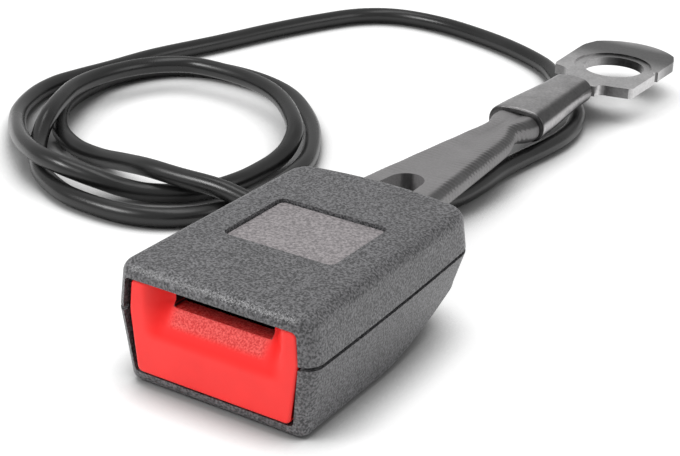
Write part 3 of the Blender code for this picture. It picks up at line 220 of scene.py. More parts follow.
def make_camera():
    data = bpy.data.cameras.new("camera")
    data.lens = CAMERA_LENS
    data.sensor_width = CAMERA_SENSOR
    data.clip_start, data.clip_end = CAMERA_CLIP
    camera = add_object("camera", data)
    place = Vector(CAMERA_PLACE)
    forward = (Vector(CAMERA_TARGET) - place).normalized()
    right = forward.cross(Vector((0, 0, 1))).normalized()
    up = right.cross(forward)
    right, up = (math.cos(CAMERA_ROLL) * right + math.sin(CAMERA_ROLL) * up,
                 math.cos(CAMERA_ROLL) * up - math.sin(CAMERA_ROLL) * right)
    turn = Matrix((right, up, -forward)).transposed()
    camera.matrix_world = Matrix.Translation(place) @ turn.to_4x4()
    bpy.context.scene.camera = camera


make_camera()


# Materials

LOOKS = {}
WHITE = (1.0, 1.0, 1.0)
NOISE_LOW, NOISE_HIGH = 0.3, 0.7


def add_node(tree, kind, values, **settings):
    """A shader node with its settings made, and its inputs set to values or linked to sockets."""
    node = tree.nodes.new(kind)
    for name, value in settings.items():
        setattr(node, name, value)
    for name, value in values.items():
        if isinstance(value, bpy.types.NodeSocket):
            tree.links.new(value, node.inputs[name])
        else:
            node.inputs[name].default_value = value
    return node


class Look:
    """A Principled material whose texture nodes are added one by one; LOOKS lists it by name."""

    def __init__(self, name, roughness, metallic=0.0):
        material = bpy.data.materials.new(name)
        material.use_nodes = True
        LOOKS[name] = material
        self.tree = material.node_tree
        self.shader = self.tree.nodes["Principled BSDF"]
        self.shader.inputs["Roughness"].default_value = roughness
        self.shader.inputs["Metallic"].default_value = metallic
        where = self.add("ShaderNodeTexCoord", {})
        self.place = where.outputs["Object"]
        self.normal = where.outputs["Normal"]
        self.bump = None

    def add(self, kind, values, **settings):
        return add_node(self.tree, kind, values, **settings)

    def part(self, vector, axis):
        """One axis of a vector."""
        return self.add("ShaderNodeSeparateXYZ", {"Vector": vector}).outputs[axis]

    def combine(self, operation, *values):
        node = self.add("ShaderNodeMath", dict(enumerate(values)), operation=operation)
        return node.outputs[0]

    def stretch(self, scale):
        node = self.add("ShaderNodeMapping", {"Scale": scale, "Vector": self.place})
        return node.outputs["Vector"]

    def noise(self, size, detail=2.0, rough=0.5, place=None):
        node = self.add("ShaderNodeTexNoise", {
            "Scale": 1.0 / size, "Detail": detail, "Roughness": rough,
            "Vector": place or self.place})
        return node.outputs["Fac"]

    def ramp(self, value, first, last, low=NOISE_LOW, high=NOISE_HIGH):
        node = self.add("ShaderNodeValToRGB", {"Fac": value})
        ends = node.color_ramp.elements
        ends[0].position, ends[0].color = low, (*first, 1.0)
        ends[1].position, ends[1].color = high, (*last, 1.0)
        return node.outputs["Color"]

    def mix(self, share, first, second, blend="MIX"):
        first, second = (value if isinstance(value, bpy.types.NodeSocket) else (*value, 1.0)
                         for value in (first, second))
        node = self.add("ShaderNodeMix", {0: share, 6: first, 7: second},
                        data_type="RGBA", blend_type=blend)
        return node.outputs[2]

    def spread(self, value, low, high):
        """A texture's value carried from its usual range to the range low to high."""
        node = self.add("ShaderNodeMapRange", {
            "Value": value, "From Min": NOISE_LOW, "From Max": NOISE_HIGH, "To Min": low,
            "To Max": high})
        return node.outputs["Result"]

    def step(self, value, low, high):
        """0 before low and 1 past high, with a soft change between them; high may be the lower."""
        first, last = (0.0, 1.0) if low <= high else (1.0, 0.0)
        node = self.add("ShaderNodeMapRange", {
            "Value": value, "From Min": min(low, high), "From Max": max(low, high),
            "To Min": first, "To Max": last}, interpolation_type="SMOOTHSTEP")
        return node.outputs["Result"]

    def both(self, first, second):
        return self.combine("MULTIPLY", first, second)

    def colour(self, socket):
        self.tree.links.new(socket, self.shader.inputs["Base Color"])

    def rough(self, socket):
        self.tree.links.new(socket, self.shader.inputs["Roughness"])

    def shade(self, mask, level):
        """Paint shade into the look: darken it to a level where its mask is 1."""
        plain = self.shader.inputs["Base Color"].links[0].from_socket
        darker = self.mix(mask, WHITE, (level, level, level))
        self.colour(self.mix(1.0, plain, darker, "MULTIPLY"))

    def raise_by(self, value, depth):
        values = {"Strength": 1.0, "Distance": depth, "Height": value}
        if self.bump is not None:
            values["Normal"] = self.bump
        self.bump = self.add("ShaderNodeBump", values).outputs["Normal"]
        self.tree.links.new(self.bump, self.shader.inputs["Normal"])


def grained_plastic(name, dark, light, roughness, depth):
    """Moulded plastic with a spark-eroded grain that glints, and faint handling marks."""
    look = Look(name, roughness)
    fine = look.noise(0.5 * MM, 1.0)
    broad = look.noise(16 * MM, 3.0)
    shade = look.ramp(fine, dark, light, 0.36, 0.66)
    worn = look.ramp(broad, (0.88, 0.88, 0.88), (1.14, 1.14, 1.14), NOISE_LOW, 0.75)
    look.colour(look.mix(1.0, shade, worn, "MULTIPLY"))
    look.rough(look.spread(broad, roughness - 0.05, roughness + 0.06))
    look.raise_by(fine, depth)


def red_button():
    """Glossy red, with a finely grained scoop floor and a clearer red painted into the trough round
    it, as painted light standing in for the red light the scoop throws back onto itself.

    The slot's interior and the button's sides are painted near black: painted shade for the shadow
    the covers cast there.
    """
    look = Look("red_plastic", 0.3)
    across = look.combine("ABSOLUTE", look.part(look.place, "X"))
    height = look.part(look.place, "Z")
    floor = look.both(look.step(across, 13.2 * MM, 10.8 * MM),
                      look.step(height, 15.4 * MM, 17.0 * MM))
    scoop = look.both(look.step(across, 18.6 * MM, 14.5 * MM),
                      look.step(height, 12.2 * MM, 14.4 * MM))
    slot_painted_shade = look.both(look.step(across, 12.9 * MM, 12.5 * MM),
                       look.step(height, 19.5 * MM, 19.9 * MM))
    side = look.step(look.combine("ABSOLUTE", look.part(look.normal, "X")), 0.95, 0.995)
    grain = look.noise(0.42 * MM, 1.0)
    face = look.ramp(look.noise(9 * MM), (0.93, 0.016, 0.013), (1.0, 0.022, 0.018))
    # Painted light: the trough's clearer red stands in for the red light bounced within the scoop.
    trough = look.mix(scoop, face, (1.0, 0.003, 0.001))
    speckle = look.ramp(grain, (0.72, 0.008, 0.006), (1.0, 0.11, 0.095), 0.36, 0.66)
    look.colour(look.mix(floor, trough, speckle))
    look.rough(look.mix(scoop, (0.32, 0.32, 0.32), (0.6, 0.6, 0.6)))
    look.raise_by(look.both(grain, floor), 0.09 * MM)
    look.raise_by(look.noise(0.4 * MM), 0.004 * MM)
    # Painted shade: near black where the covers shade the slot's floor and the button's side faces.
    look.shade(slot_painted_shade, 0.02)
    look.shade(side, 0.03)


def satin_steel(name, dark, light, depth=0.03 * MM):
    """Plated steel: fine mottling, broader clouds of handling and uneven gloss."""
    look = Look(name, 0.36, metallic=1.0)
    fine = look.noise(0.8 * MM, 3.0, 0.6)
    cloud = look.noise(6 * MM, 4.0, 0.6)
    look.colour(look.mix(0.5, look.ramp(fine, dark, light), look.ramp(cloud, dark, light)))
    look.rough(look.spread(cloud, 0.28, 0.44))
    look.raise_by(fine, depth)
    return look


def plate_steel():
    """The anchor plate, with painted shade: a darker band behind the hole, and darker faces towards
    the ferrule.
    """
    look = satin_steel("plate_steel", (0.44, 0.436, 0.438), (0.76, 0.75, 0.753))
    along = look.part(look.place, "Y")
    # Painted shade: a band across the top is darkened, standing in for the top's reflection falling
    # off there.
    painted_shade_band = look.both(look.step(along, 208 * MM, 223 * MM), look.step(along, 236 * MM, 228 * MM))
    look.shade(painted_shade_band, 0.26)
    # Painted shade on the faces turned towards the ferrule.
    look.shade(look.step(look.part(look.normal, "Y"), -0.5, -0.9), 0.3)


def ferrule_steel():
    """The ferrule, with painted shade: a darker flank beside the top, and a dark rim round its
    mouth.
    """
    look = satin_steel("ferrule_steel", (0.3, 0.295, 0.298), (0.6, 0.588, 0.592), 0.04 * MM)
    across = look.part(look.normal, "X")
    # Painted shade on the right flank, where the normal turns towards +X.
    look.shade(look.both(look.step(across, 0.1, 0.55), look.step(across, 0.99, 0.9)), 0.22)
    # Painted shade on the rim faces turned to the front.
    look.shade(look.step(look.part(look.normal, "Y"), -0.3, -0.8), 0.22)


def sleeve_plastic():
    """Matte and fine, with painted shade on the flank beside the top."""
    look = Look("sleeve_plastic", 0.5)
    fine = look.noise(0.6 * MM, 3.0, 0.6)
    cloud = look.noise(9 * MM, 3.0)
    look.colour(look.mix(0.5, look.ramp(fine, (0.15, 0.146, 0.147), (0.25, 0.242, 0.245)),
                         look.ramp(cloud, (0.15, 0.146, 0.147), (0.24, 0.233, 0.236))))
    look.rough(look.spread(cloud, 0.46, 0.58))
    look.raise_by(fine, 0.03 * MM)
    # Painted shade on the right flank, where the normal turns towards +X.
    across = look.part(look.normal, "X")
    look.shade(look.both(look.step(across, 0.1, 0.5), look.step(across, 0.95, 0.84)), 0.26)


def satin_label():
    look = Look("satin_label", 0.4)
    fine = look.noise(0.6 * MM, 1.0)
    cloud = look.noise(7 * MM, 3.0)
    speckle = look.ramp(fine, (0.12, 0.11, 0.114), (0.4, 0.368, 0.376), 0.34, 0.68)
    look.colour(look.mix(0.35, speckle, look.ramp(cloud, (0.2, 0.185, 0.19), (0.27, 0.25, 0.257))))
    look.rough(look.spread(fine, 0.34, 0.46))
    look.raise_by(fine, 0.012 * MM)


def spring_steel():
    look = Look("spring_steel", 0.28, metallic=1.0)
    lines = look.noise(0.3 * MM, place=look.stretch((1.0, 0.1, 1.0)))
    look.colour(look.ramp(lines, (0.42, 0.42, 0.43), (0.56, 0.56, 0.56)))
    look.rough(look.spread(lines, 0.24, 0.34))


def plain_look(name, roughness, dark, light, cloud, grain, depth):
    """Small or hidden pieces: one cloud of tone and a faint grain."""
    look = Look(name, roughness)
    look.colour(look.ramp(look.noise(cloud), dark, light))
    look.raise_by(look.noise(grain), depth)


def cord_jacket():
    look = Look("cord_jacket", 0.3)
    cloud = look.noise(18 * MM, 3.0)
    look.colour(look.ramp(cloud, (0.005, 0.005, 0.005), (0.012, 0.012, 0.012)))
    look.rough(look.spread(cloud, 0.24, 0.34))
    look.raise_by(look.noise(0.5 * MM), 0.01 * MM)


def tinned_brass():
    look = Look("tinned_brass", 0.32, metallic=1.0)
    look.colour(look.ramp(look.noise(1.5 * MM), (0.55, 0.5, 0.37), (0.64, 0.6, 0.46)))
    look.rough(look.spread(look.noise(0.8 * MM), 0.28, 0.38))


def make_looks():
    grained_plastic("black_plastic", (0.036, 0.036, 0.038), (0.175, 0.173, 0.18), 0.35, 0.17 * MM)
    grained_plastic("connector_plastic", (0.022, 0.022, 0.023), (0.04, 0.04, 0.041), 0.4,
                    0.015 * MM)
    red_button()
    satin_label()
    sleeve_plastic()
    satin_steel("plated_steel", (0.3, 0.3, 0.305), (0.46, 0.455, 0.455))
    plate_steel()
    ferrule_steel()
    spring_steel()
    plain_look("white_plastic", 0.45, (0.68, 0.67, 0.63), (0.74, 0.73, 0.69), 4 * MM, 0.4 * MM,
               0.006 * MM)
    cord_jacket()
    plain_look("brown_wire", 0.45, (0.17, 0.075, 0.033), (0.22, 0.1, 0.045), 2 * MM, 0.3 * MM,
               0.005 * MM)
    tinned_brass()


make_looks()


# Shape helpers

SAME_POINT = 1e-7


def smoothstep(value):
    value = min(max(value, 0.0), 1.0)
    return value * value * (3 - 2 * value)


def skin(obj, look, node, body="housing"):
    """A finished piece: its material, the body it rides on and the node it stands for."""
    obj.data.materials.clear()
    obj.data.materials.append(LOOKS[look])
    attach(obj, body)
    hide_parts(node)


def mesh_object(name, points, faces):
    mesh = bpy.data.meshes.new(name)
    mesh.from_pydata([placed(p) for p in points], [], faces)
    made = add_object(name, mesh)
    clean(made)
    return made


def evaluated(obj):
    """The object's mesh with its modifiers applied, as a plain mesh object in its place."""
    bpy.context.view_layer.update()
    graph = bpy.context.evaluated_depsgraph_get()
    mesh = bpy.data.meshes.new_from_object(obj.evaluated_get(graph))
    name = obj.name
    place = obj.matrix_world.copy()
    bpy.data.objects.remove(obj, do_unlink=True)
    mesh.transform(place)
    return add_object(name, mesh)


def prism(name, outline, low, high, plane="XY", holes=()):
    """A flat outline carried from low to high across its plane."""
    curve = bpy.data.curves.new(name, "CURVE")
    curve.dimensions = "2D"
    curve.fill_mode = "BOTH"
    curve.extrude = (high - low) / 2
    for loop in (outline, *holes):
        spline = curve.splines.new("POLY")
        spline.points.add(len(loop) - 1)
        for point, (u, v) in zip(spline.points, loop):
            point.co = (u, v, 0.0, 1.0)
        spline.use_cyclic_u = True
    obj = add_object(name, curve)
    middle = (low + high) / 2
    centres = {"XY": (0, 0, middle), "XZ": (0, middle, 0), "YZ": (middle, 0, 0)}
    turns = {"XY": (0, 0, 0), "XZ": (math.pi / 2, 0, 0), "YZ": (math.pi / 2, 0, math.pi / 2)}
    obj.location = placed(centres[plane])
    obj.rotation_euler = turns[plane]
    obj = evaluated(obj)
    clean(obj)
    return obj


def clean(obj):
    """Join points that coincide and turn all faces outward."""
    shape = bmesh.new()
    shape.from_mesh(obj.data)
    bmesh.ops.remove_doubles(shape, verts=shape.verts, dist=SAME_POINT)
    bmesh.ops.recalc_face_normals(shape, faces=shape.faces)
    shape.to_mesh(obj.data)
    shape.free()


def block(name, low, high):
    outline = [(low[0], low[1]), (high[0], low[1]), (high[0], high[1]), (low[0], high[1])]
    return prism(name, outline, low[2], high[2])


def rounded(corners, radii):
    """The outline through the corners, each rounded by its radius."""
    steps = 8
    points = []
    count = len(corners)
    for index, radius in enumerate(radii):
        here = Vector(corners[index])
        before = (Vector(corners[index - 1]) - here).normalized()
        after = (Vector(corners[(index + 1) % count]) - here).normalized()
        half = before.angle(after) / 2
        centre = here + (before + after).normalized() * (radius / math.sin(half))
        first = here + before * (radius / math.tan(half)) - centre
        last = here + after * (radius / math.tan(half)) - centre
        sweep = first.angle_signed(last)
        for step in range(steps + 1):
            turned = first.copy()
            turned.rotate(Matrix.Rotation(-sweep * step / steps, 2))
            points.append(tuple(centre + turned))
    return points


def quarter(steps):
    """Angles from 0 to a right angle."""
    return [math.pi / 2 * step / steps for step in range(steps + 1)]


def circle(u, v, radius, sides=64):
    turn = 2 * math.pi / sides
    return [(u + radius * math.cos(k * turn), v + radius * math.sin(k * turn))
            for k in range(sides)]


def joined_rings(rings):
    """The points of the rings, and the faces between each ring and the next."""
    count = len(rings[0])
    faces = []
    for row in range(len(rings) - 1):
        for index in range(count):
            after = (index + 1) % count
            faces.append((row * count + index, row * count + after,
                          (row + 1) * count + after, (row + 1) * count + index))
    return [point for ring in rings for point in ring], faces


def loft(name, rings, closed_ends=True):
    points, faces = joined_rings(rings)
    count = len(rings[0])
    if closed_ends:
        faces.append(tuple(range(count)))
        last = (len(rings) - 1) * count
        faces.append(tuple(range(last, last + count)))
    return mesh_object(name, points, faces)


def boolean(target, tools, operation="DIFFERENCE"):
    for tool in tools:
        step = target.modifiers.new(operation.lower(), "BOOLEAN")
        step.operation = operation
        step.solver = "EXACT"
        step.object = tool
    made = evaluated(target)
    for tool in tools:
        bpy.data.objects.remove(tool, do_unlink=True)
    return made


def smooth(obj, angle):
    """Smooth shading, except where two faces meet at more than the angle."""
    obj.data.shade_smooth()
    obj.data.set_sharp_from_angle(angle=math.radians(angle))
    return obj


def soften(obj, width, segments):
    """Rounded edges wherever two faces meet at more than an angle, shaded smooth."""
    clean(obj)
    step = obj.modifiers.new("rounded_edges", "BEVEL")
    step.width = width
    step.segments = segments
    step.limit_method = "ANGLE"
    step.angle_limit = math.radians(32)
    step.use_clamp_overlap = True
    return smooth(obj, 40)


# Lead

def fine_route(route, steps):
    ends = [2 * Vector(route[0]) - Vector(route[1]), 2 * Vector(route[-1]) - Vector(route[-2])]
    knots = [ends[0], *map(Vector, route), ends[1]]
    points = []
    for a, b, c, d in zip(knots, knots[1:], knots[2:], knots[3:]):
        for step in range(steps):
            t = step / steps
            points.append(
                0.5 * (2 * b + (c - a) * t + (2 * a - 5 * b + 4 * c - d) * t**2
                       + (3 * b - 3 * c + d - a) * t**3))
    points.append(knots[-2])
    return points


def make_cord():
    curve = bpy.data.curves.new("cord_jacket", "CURVE")
    curve.dimensions = "3D"
    curve.bevel_depth = CORD_RADIUS
    curve.bevel_resolution = 6
    curve.use_fill_caps = True
    points = fine_route([tuple(v * MM for v in point) for point in CORD_ROUTE], CORD_STEPS)
    spline = curve.splines.new("POLY")
    spline.points.add(len(points) - 1)
    for point, place in zip(spline.points, points):
        point.co = (*placed(place), 1.0)
    spline.use_smooth = True
    cord = add_object("cord_jacket", curve)
    skin(cord, "cord_jacket", "cord")


make_cord()


# Housing shells

LEAST_CORNER = 0.6 * MM
LEAST_EDGE = 0.8 * MM
SEAM_LIP = 1.6 * MM
CAVITY_TOP = 3.2 * MM
ROOM_SHARE = 0.8
LABEL_ROOM = 1.6 * GAP
UPPER_ROUND, LOWER_ROUND, LABEL_ROUND = 0.35 * MM, 0.3 * MM, 0.15 * MM


def half_width(y):
    return (FRONT_WIDTH + (REAR_WIDTH - FRONT_WIDTH) * y / HOUSING_LENGTH) / 2


def half_plan(inset):
    front_radius = max(FRONT_CORNER - inset, LEAST_CORNER)
    rear_radius = max(REAR_CORNER - inset, LEAST_CORNER)
    rear = HOUSING_LENGTH - REAR_BOW - inset
    front_half = half_width(0) - inset
    rear_half = half_width(HOUSING_LENGTH) - inset
    side_steps, rear_steps = 20, 9
    points = []
    for angle in quarter(10):
        points.append((front_half - front_radius * (1 - math.sin(angle)),
                       inset + front_radius * (1 - math.cos(angle))))
    for step in range(1, side_steps):
        share = step / side_steps
        first, last = inset + front_radius, rear - rear_radius
        points.append((front_half + (rear_half - front_half) * share,
                       first + (last - first) * share))
    for angle in quarter(10):
        points.append((rear_half - rear_radius * (1 - math.cos(angle)),
                       rear - rear_radius * (1 - math.sin(angle))))
    straight = rear_half - rear_radius
    for step in range(1, rear_steps + 1):
        x = straight * (1 - step / (rear_steps + 0.5))
        points.append((x, rear + REAR_BOW * (1 - (x / straight) ** 2)))
    return points


def ring(inset, height, flare=0.0):
    wider = 1 + flare / half_width(0)
    half = [(x * wider, y) for x, y in half_plan(inset)]
    right = [(x, y, height(y)) for x, y in half]
    left = [(-x, y, height(y)) for x, y in reversed(half)]
    return right + left


def level(z):
    return lambda y: z


def seam(offset):
    return lambda y: PARTING_Z + SEAM_RISE * (y / HOUSING_LENGTH) ** 2 + offset


def underside(y):
    beyond = max(y - REST_LENGTH, 0.0)
    return REAR_RISE * (beyond / (HOUSING_LENGTH - REST_LENGTH)) ** 1.5


def shell(name, rings):
    """A closed skin over mirrored rings, capped with strips from side to side."""
    points, faces = joined_rings(rings)
    count = len(rings[0])
    for base in (0, (len(rings) - 1) * count):
        for index in range(count // 2 - 1):
            faces.append((base + index, base + index + 1,
                          base + count - 2 - index, base + count - 1 - index))
    return mesh_object(name, points, faces)


def upper_rings(wall, top, bottom):
    edge = max(TOP_EDGE - wall, LEAST_EDGE)
    rings = [ring(wall, seam(bottom), SIDE_FLARE), ring(wall, level(top - edge))]
    for angle in quarter(10)[1:]:
        z = top - edge * (1 - math.sin(angle))
        rings.append(ring(wall + edge * (1 - math.cos(angle)), level(z)))
    return rings


def lower_rings(wall, top):
    edge = max(BOTTOM_EDGE - wall, LEAST_EDGE)
    rings = [ring(wall, seam(top), SIDE_FLARE), ring(wall, seam(-SEAM / 2 - 0.1 * MM), SIDE_FLARE)]
    for angle in quarter(8):
        rise = wall + edge * (1 - math.sin(angle))
        inset = wall + SIDE_DRAFT + edge * (1 - math.cos(angle))
        rings.append(ring(inset, lambda y, rise=rise: underside(y) + rise))
    return rings


def aperture(inset, wider=0.0):
    side = APERTURE_HALF - inset + wider
    foot = side - APERTURE_DRAFT
    top, bottom = APERTURE_TOP - inset, APERTURE_BOTTOM + inset - ROOM_SHARE * wider
    waist = side + APERTURE_FLARE
    corners = [(side, top), (waist, PARTING_Z), (foot, bottom),
               (-foot, bottom), (-waist, PARTING_Z), (-side, top)]
    tight, wide = APERTURE_CORNER, APERTURE_BULGE
    return rounded(corners, [tight, wide, tight, tight, wide, tight])


def aperture_cutter():
    """The button's opening, with most of its extra room on the left and below."""
    outline = [(x - ROOM_SHARE * APERTURE_ROOM, z) for x, z in aperture(0, APERTURE_ROOM)]
    return prism("aperture", outline, -OVER, WALL + SIDE_DRAFT + 2 * OVER, plane="XZ")


def grommet_cutter():
    return prism("grommet_hole", circle(GROMMET_X, GROMMET_Z, GROMMET_NECK + GAP),
                 HOUSING_LENGTH - WALL - 4 * OVER, HOUSING_LENGTH + OVER, plane="XZ")


def label_outline(inset):
    corners = [(-LABEL_HALF_WIDTH + inset, LABEL_FRONT + inset),
               (LABEL_HALF_WIDTH - inset, LABEL_FRONT + inset),
               (LABEL_HALF_WIDTH - inset, LABEL_REAR - inset),
               (-LABEL_HALF_WIDTH + inset, LABEL_REAR - inset)]
    return rounded(corners, 4 * [LABEL_CORNER - inset])


def sleeve_half_height():
    return ROPE_RADIUS + GAP + SLEEVE_WALL


def stalk_opening():
    half = sleeve_half_width(SLEEVE_FRONT) + 3 * GAP
    low = rope_level() - sleeve_half_height() - 2 * GAP
    return block("opening", (-half, HOUSING_LENGTH - WALL - 2 * REAR_BOW, low),
                 (half, HOUSING_LENGTH + OVER, HOUSING_HEIGHT - TOP_WALL))


def make_covers():
    top = HOUSING_HEIGHT
    upper = shell("upper_cover_skin", upper_rings(0.0, top, SEAM / 2))
    recess_floor = top - LABEL_SUNK - LABEL_THICKNESS - GAP
    upper = boolean(upper, [
        shell("cavity", upper_rings(WALL, top - TOP_WALL, -OVER)),
        aperture_cutter(),
        stalk_opening(),
        grommet_cutter(),
        prism("recess", label_outline(0.0), recess_floor, top + OVER),
    ])
    skin(soften(upper, UPPER_ROUND, 3), "black_plastic", "upper_cover")

    label_top = top - LABEL_SUNK
    label = prism("label_skin", label_outline(LABEL_ROOM), label_top - LABEL_THICKNESS, label_top)
    skin(soften(label, LABEL_ROUND, 2), "satin_label", "label_plate")

    lower = shell("lower_cover_skin", lower_rings(0.0, -SEAM / 2))
    inset = WALL / 2 + GAP / 2
    lip = shell("lip", [ring(inset, seam(-2 * OVER), SIDE_FLARE),
                        ring(inset, seam(SEAM_LIP), SIDE_FLARE)])
    lower = boolean(lower, [lip], "UNION")
    lower = boolean(lower, [
        shell("cavity", lower_rings(WALL, CAVITY_TOP)), aperture_cutter(), stalk_opening(),
        grommet_cutter(),
    ])
    skin(soften(lower, LOWER_ROUND, 3), "black_plastic", "lower_cover")


# Stalk

DRIFT_START, DRIFT_END = 0.95, 0.70
WAIST_Y, WAIST_SPREAD = 154 * MM, 7.5 * MM
WAIST_DEPTH, LEFT_WAIST = 2.5 * MM, 0.25
MOUTH_Y, MOUTH_LENGTH = 156 * MM, 9 * MM
MOUTH_OUT, MOUTH_LEFT_OUT, MOUTH_THICKER, MOUTH_DROP = -0.9 * MM, 1.4 * MM, 0.5 * MM, -0.7 * MM
PRINT_START, PRINT_FADE = 78 * MM, 12 * MM
PRINT_WAVES = 3.7 * MM, 9.1 * MM
WEB_THINNER, WEB_START, WEB_FADE = 0.22, 95 * MM, 40 * MM
SLEEVE_RINGS = 230
GAP_ROUND = 6 * MM
ROPE_IN_FERRULE = 22 * MM
ROPE_LAY = 26 * MM
ROPE_STRANDS, STRAND_DEPTH = 6, 0.04
BUTTON_TRAVEL, BUTTON_SPRING_WIRE, BUTTON_SPRING_TURNS = 5.0 * MM, 0.28 * MM, 9
EJECTOR_TRAVEL, EJECTOR_SPRING_WIRE, EJECTOR_SPRING_TURNS = 8.0 * MM, 0.25 * MM, 10
SPRING_FLAT_TURNS = 0.75


def rope_level():
    return BASE_TOP + GAP + ROPE_RADIUS


def stalk_middle(y):
    first, last = SLEEVE_FRONT, FERRULE_FRONT
    share = min(max((y - first) / (last - first), 0.0), 1.0)
    span = share**3 * (DRIFT_START + DRIFT_END - 2) + share**2 * (3 - 2 * DRIFT_START - DRIFT_END)
    span += share * DRIFT_START
    return STALK_SHIFT * span, rope_level() + (FERRULE_Z - rope_level()) * span


def leg_spread(y):
    start = SADDLE_RADIUS + GAP + ROPE_RADIUS
    share = min(max((y - SADDLE_REAR) / (SLEEVE_TAPER_END - SADDLE_REAR), 0.0), 1.0)
    return start + (LEG_SPREAD_END - start) * share


def sleeve_half_width(y):
    return leg_spread(y) + sleeve_half_height()


def leg_shift(y):
    """How far the right leg is drawn in before the ferrule, and how far it swells at the mouth."""
    drawn_in = WAIST_DEPTH * math.exp(-(((y - WAIST_Y) / WAIST_SPREAD) ** 2))
    return drawn_in, smoothstep((y - MOUTH_Y) / MOUTH_LENGTH)


def sleeve_ring(y):
    """The sleeve's section: a rope leg in each edge, the strands printed through, a web between.

    The right leg is drawn in before the ferrule and swells where it enters it.
    """
    x_middle, z_middle = stalk_middle(y)
    half = sleeve_half_height()
    drawn_in, swell = leg_shift(y)
    printed = STRAND_PRINT * smoothstep((y - PRINT_START) / PRINT_FADE) * (1 - swell)
    uneven = 0.6 + 0.4 * math.sin(y / PRINT_WAVES[0]) * math.sin(y / PRINT_WAVES[1])
    web = half * (1 - WEB_THINNER * smoothstep((y - WEB_START) / WEB_FADE))
    steps = 20
    section = [(0.0, -web)]
    for side in (1, -1):
        if side > 0:
            reach = leg_spread(y) - drawn_in + MOUTH_OUT * swell
            radius, drop = half + MOUTH_THICKER * swell, MOUTH_DROP * swell
        else:
            reach = leg_spread(y) - LEFT_WAIST * drawn_in + MOUTH_LEFT_OUT * swell
            radius, drop = half, 0.0
        leg = []
        for step in range(steps + 1):
            angle = -math.pi / 2 + math.pi * step / steps
            turn = 2 * math.pi * (y / STRAND_PITCH + side * angle / 0.9)
            out = radius + printed * uneven * math.sin(turn) * max(math.cos(angle - 0.5), 0.0)
            leg.append((side * (reach + out * math.cos(angle)), drop + out * math.sin(angle)))
        inner = side * max(reach, 0.5 * MM) * 0.45
        leg = [(inner, -(half + web) / 2), *leg, (inner, (half + web) / 2)]
        section += leg if side > 0 else [(0.0, web), *leg[::-1]]
    return [(x_middle + x, y, z_middle + z) for x, z in section]


def make_sleeve():
    length = FERRULE_FRONT + OVER - SLEEVE_FRONT
    sleeve = loft("stalk_sleeve_skin", [sleeve_ring(SLEEVE_FRONT + length * k / SLEEVE_RINGS)
                                        for k in range(SLEEVE_RINGS + 1)])
    start = SLEEVE_FRONT - OVER
    web = ROPE_RADIUS + GAP + 1.1 * SLEEVE_WALL
    right, left = [], []
    count = 28
    for step in range(count + 1):
        y = start + (SLEEVE_GAP_END - start) * math.sin(math.pi / 2 * step / count)
        beyond = max(y - (SLEEVE_GAP_END - GAP_ROUND), 0.0) / GAP_ROUND
        half = (leg_spread(y) - web) * math.sqrt(max(1 - beyond**2, 0.0))
        x = stalk_middle(y)[0]
        right.append((x + half, y))
        left.append((x - half, y))
    gap = prism("gap", right + left[-2::-1], FERRULE_Z, HOUSING_HEIGHT + OVER)
    sleeve = boolean(sleeve, [gap])
    clean(sleeve)
    skin(smooth(sleeve, 48), "sleeve_plastic", "stalk_sleeve")


def strands(angle, run):
    """The rope's outline: its strands, turning along its length."""
    wave = math.cos(ROPE_STRANDS * angle + 2 * math.pi * run / ROPE_LAY)
    return 1 - STRAND_DEPTH + STRAND_DEPTH * wave


def path_rings(path, radius, sides, up, form=None):
    """Rings of a round bar along a path, each square to it; form gives its outline, if any."""
    rings = []
    run = 0.0
    for k, point in enumerate(path):
        along = (path[min(k + 1, len(path) - 1)] - path[max(k - 1, 0)]).normalized()
        aside = along.cross(Vector(up)).normalized()
        over = aside.cross(along)
        run += (point - path[max(k - 1, 0)]).length
        ring = []
        for step in range(sides):
            angle = 2 * math.pi * step / sides
            out = radius * (form(angle, run) if form else 1.0)
            across, upward = out * math.cos(angle), out * math.sin(angle)
            ring.append(tuple(point + aside * across + over * upward))
        rings.append(ring)
    return rings


def make_spring(node, wire, turns):
    """A coil spring with closed ends."""
    low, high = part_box(node)
    radius = (high[0] - low[0]) / 2 - wire
    x, z = (low[0] + high[0]) / 2, (low[2] + high[2]) / 2
    front, rear = low[1] + wire + REST_Y, high[1] - wire + REST_Y
    flat, per_turn = SPRING_FLAT_TURNS, 20
    path = []
    for step in range(turns * per_turn + 1):
        turn = step / per_turn
        share = min(max((turn - flat) / (turns - 2 * flat), 0.0), 1.0)
        angle = 2 * math.pi * turn
        path.append(Vector((x + radius * math.cos(angle), front + (rear - front) * share,
                            z + radius * math.sin(angle))))
    spring = loft(node + "_skin", path_rings(path, wire, 10, (0, 1, 0)))
    spring.data.shade_smooth()
    skin(spring, "spring_steel", node)
    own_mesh(spring)


def make_rope():
    """The stranded rope: a loop round the saddle, and a leg down each side into the ferrule."""
    length = FERRULE_FRONT + ROPE_IN_FERRULE - SADDLE_Y
    steps = 100
    legs = {}
    for side, share in ((1, 1.0), (-1, LEFT_WAIST)):
        legs[side] = []
        for k in range(steps + 1):
            y = SADDLE_Y + length * k / steps
            x, z = stalk_middle(y)
            reach = leg_spread(y) - leg_shift(y)[0] * share
            legs[side].append(Vector((x + side * reach, y, z)))
    radius = leg_spread(SADDLE_Y)
    height = stalk_middle(SADDLE_Y)[1]
    loop = []
    turns = 24
    for step in range(1, turns):
        angle = math.pi * step / turns
        loop.append(Vector((radius * math.cos(angle), SADDLE_Y - radius * math.sin(angle), height)))
    path = legs[1][::-1] + loop + legs[-1]
    rope = loft("wire_rope_skin", path_rings(path, ROPE_RADIUS, 36, (0, 0, 1), strands))
    rope.data.shade_smooth()
    skin(rope, "plated_steel", "wire_rope")


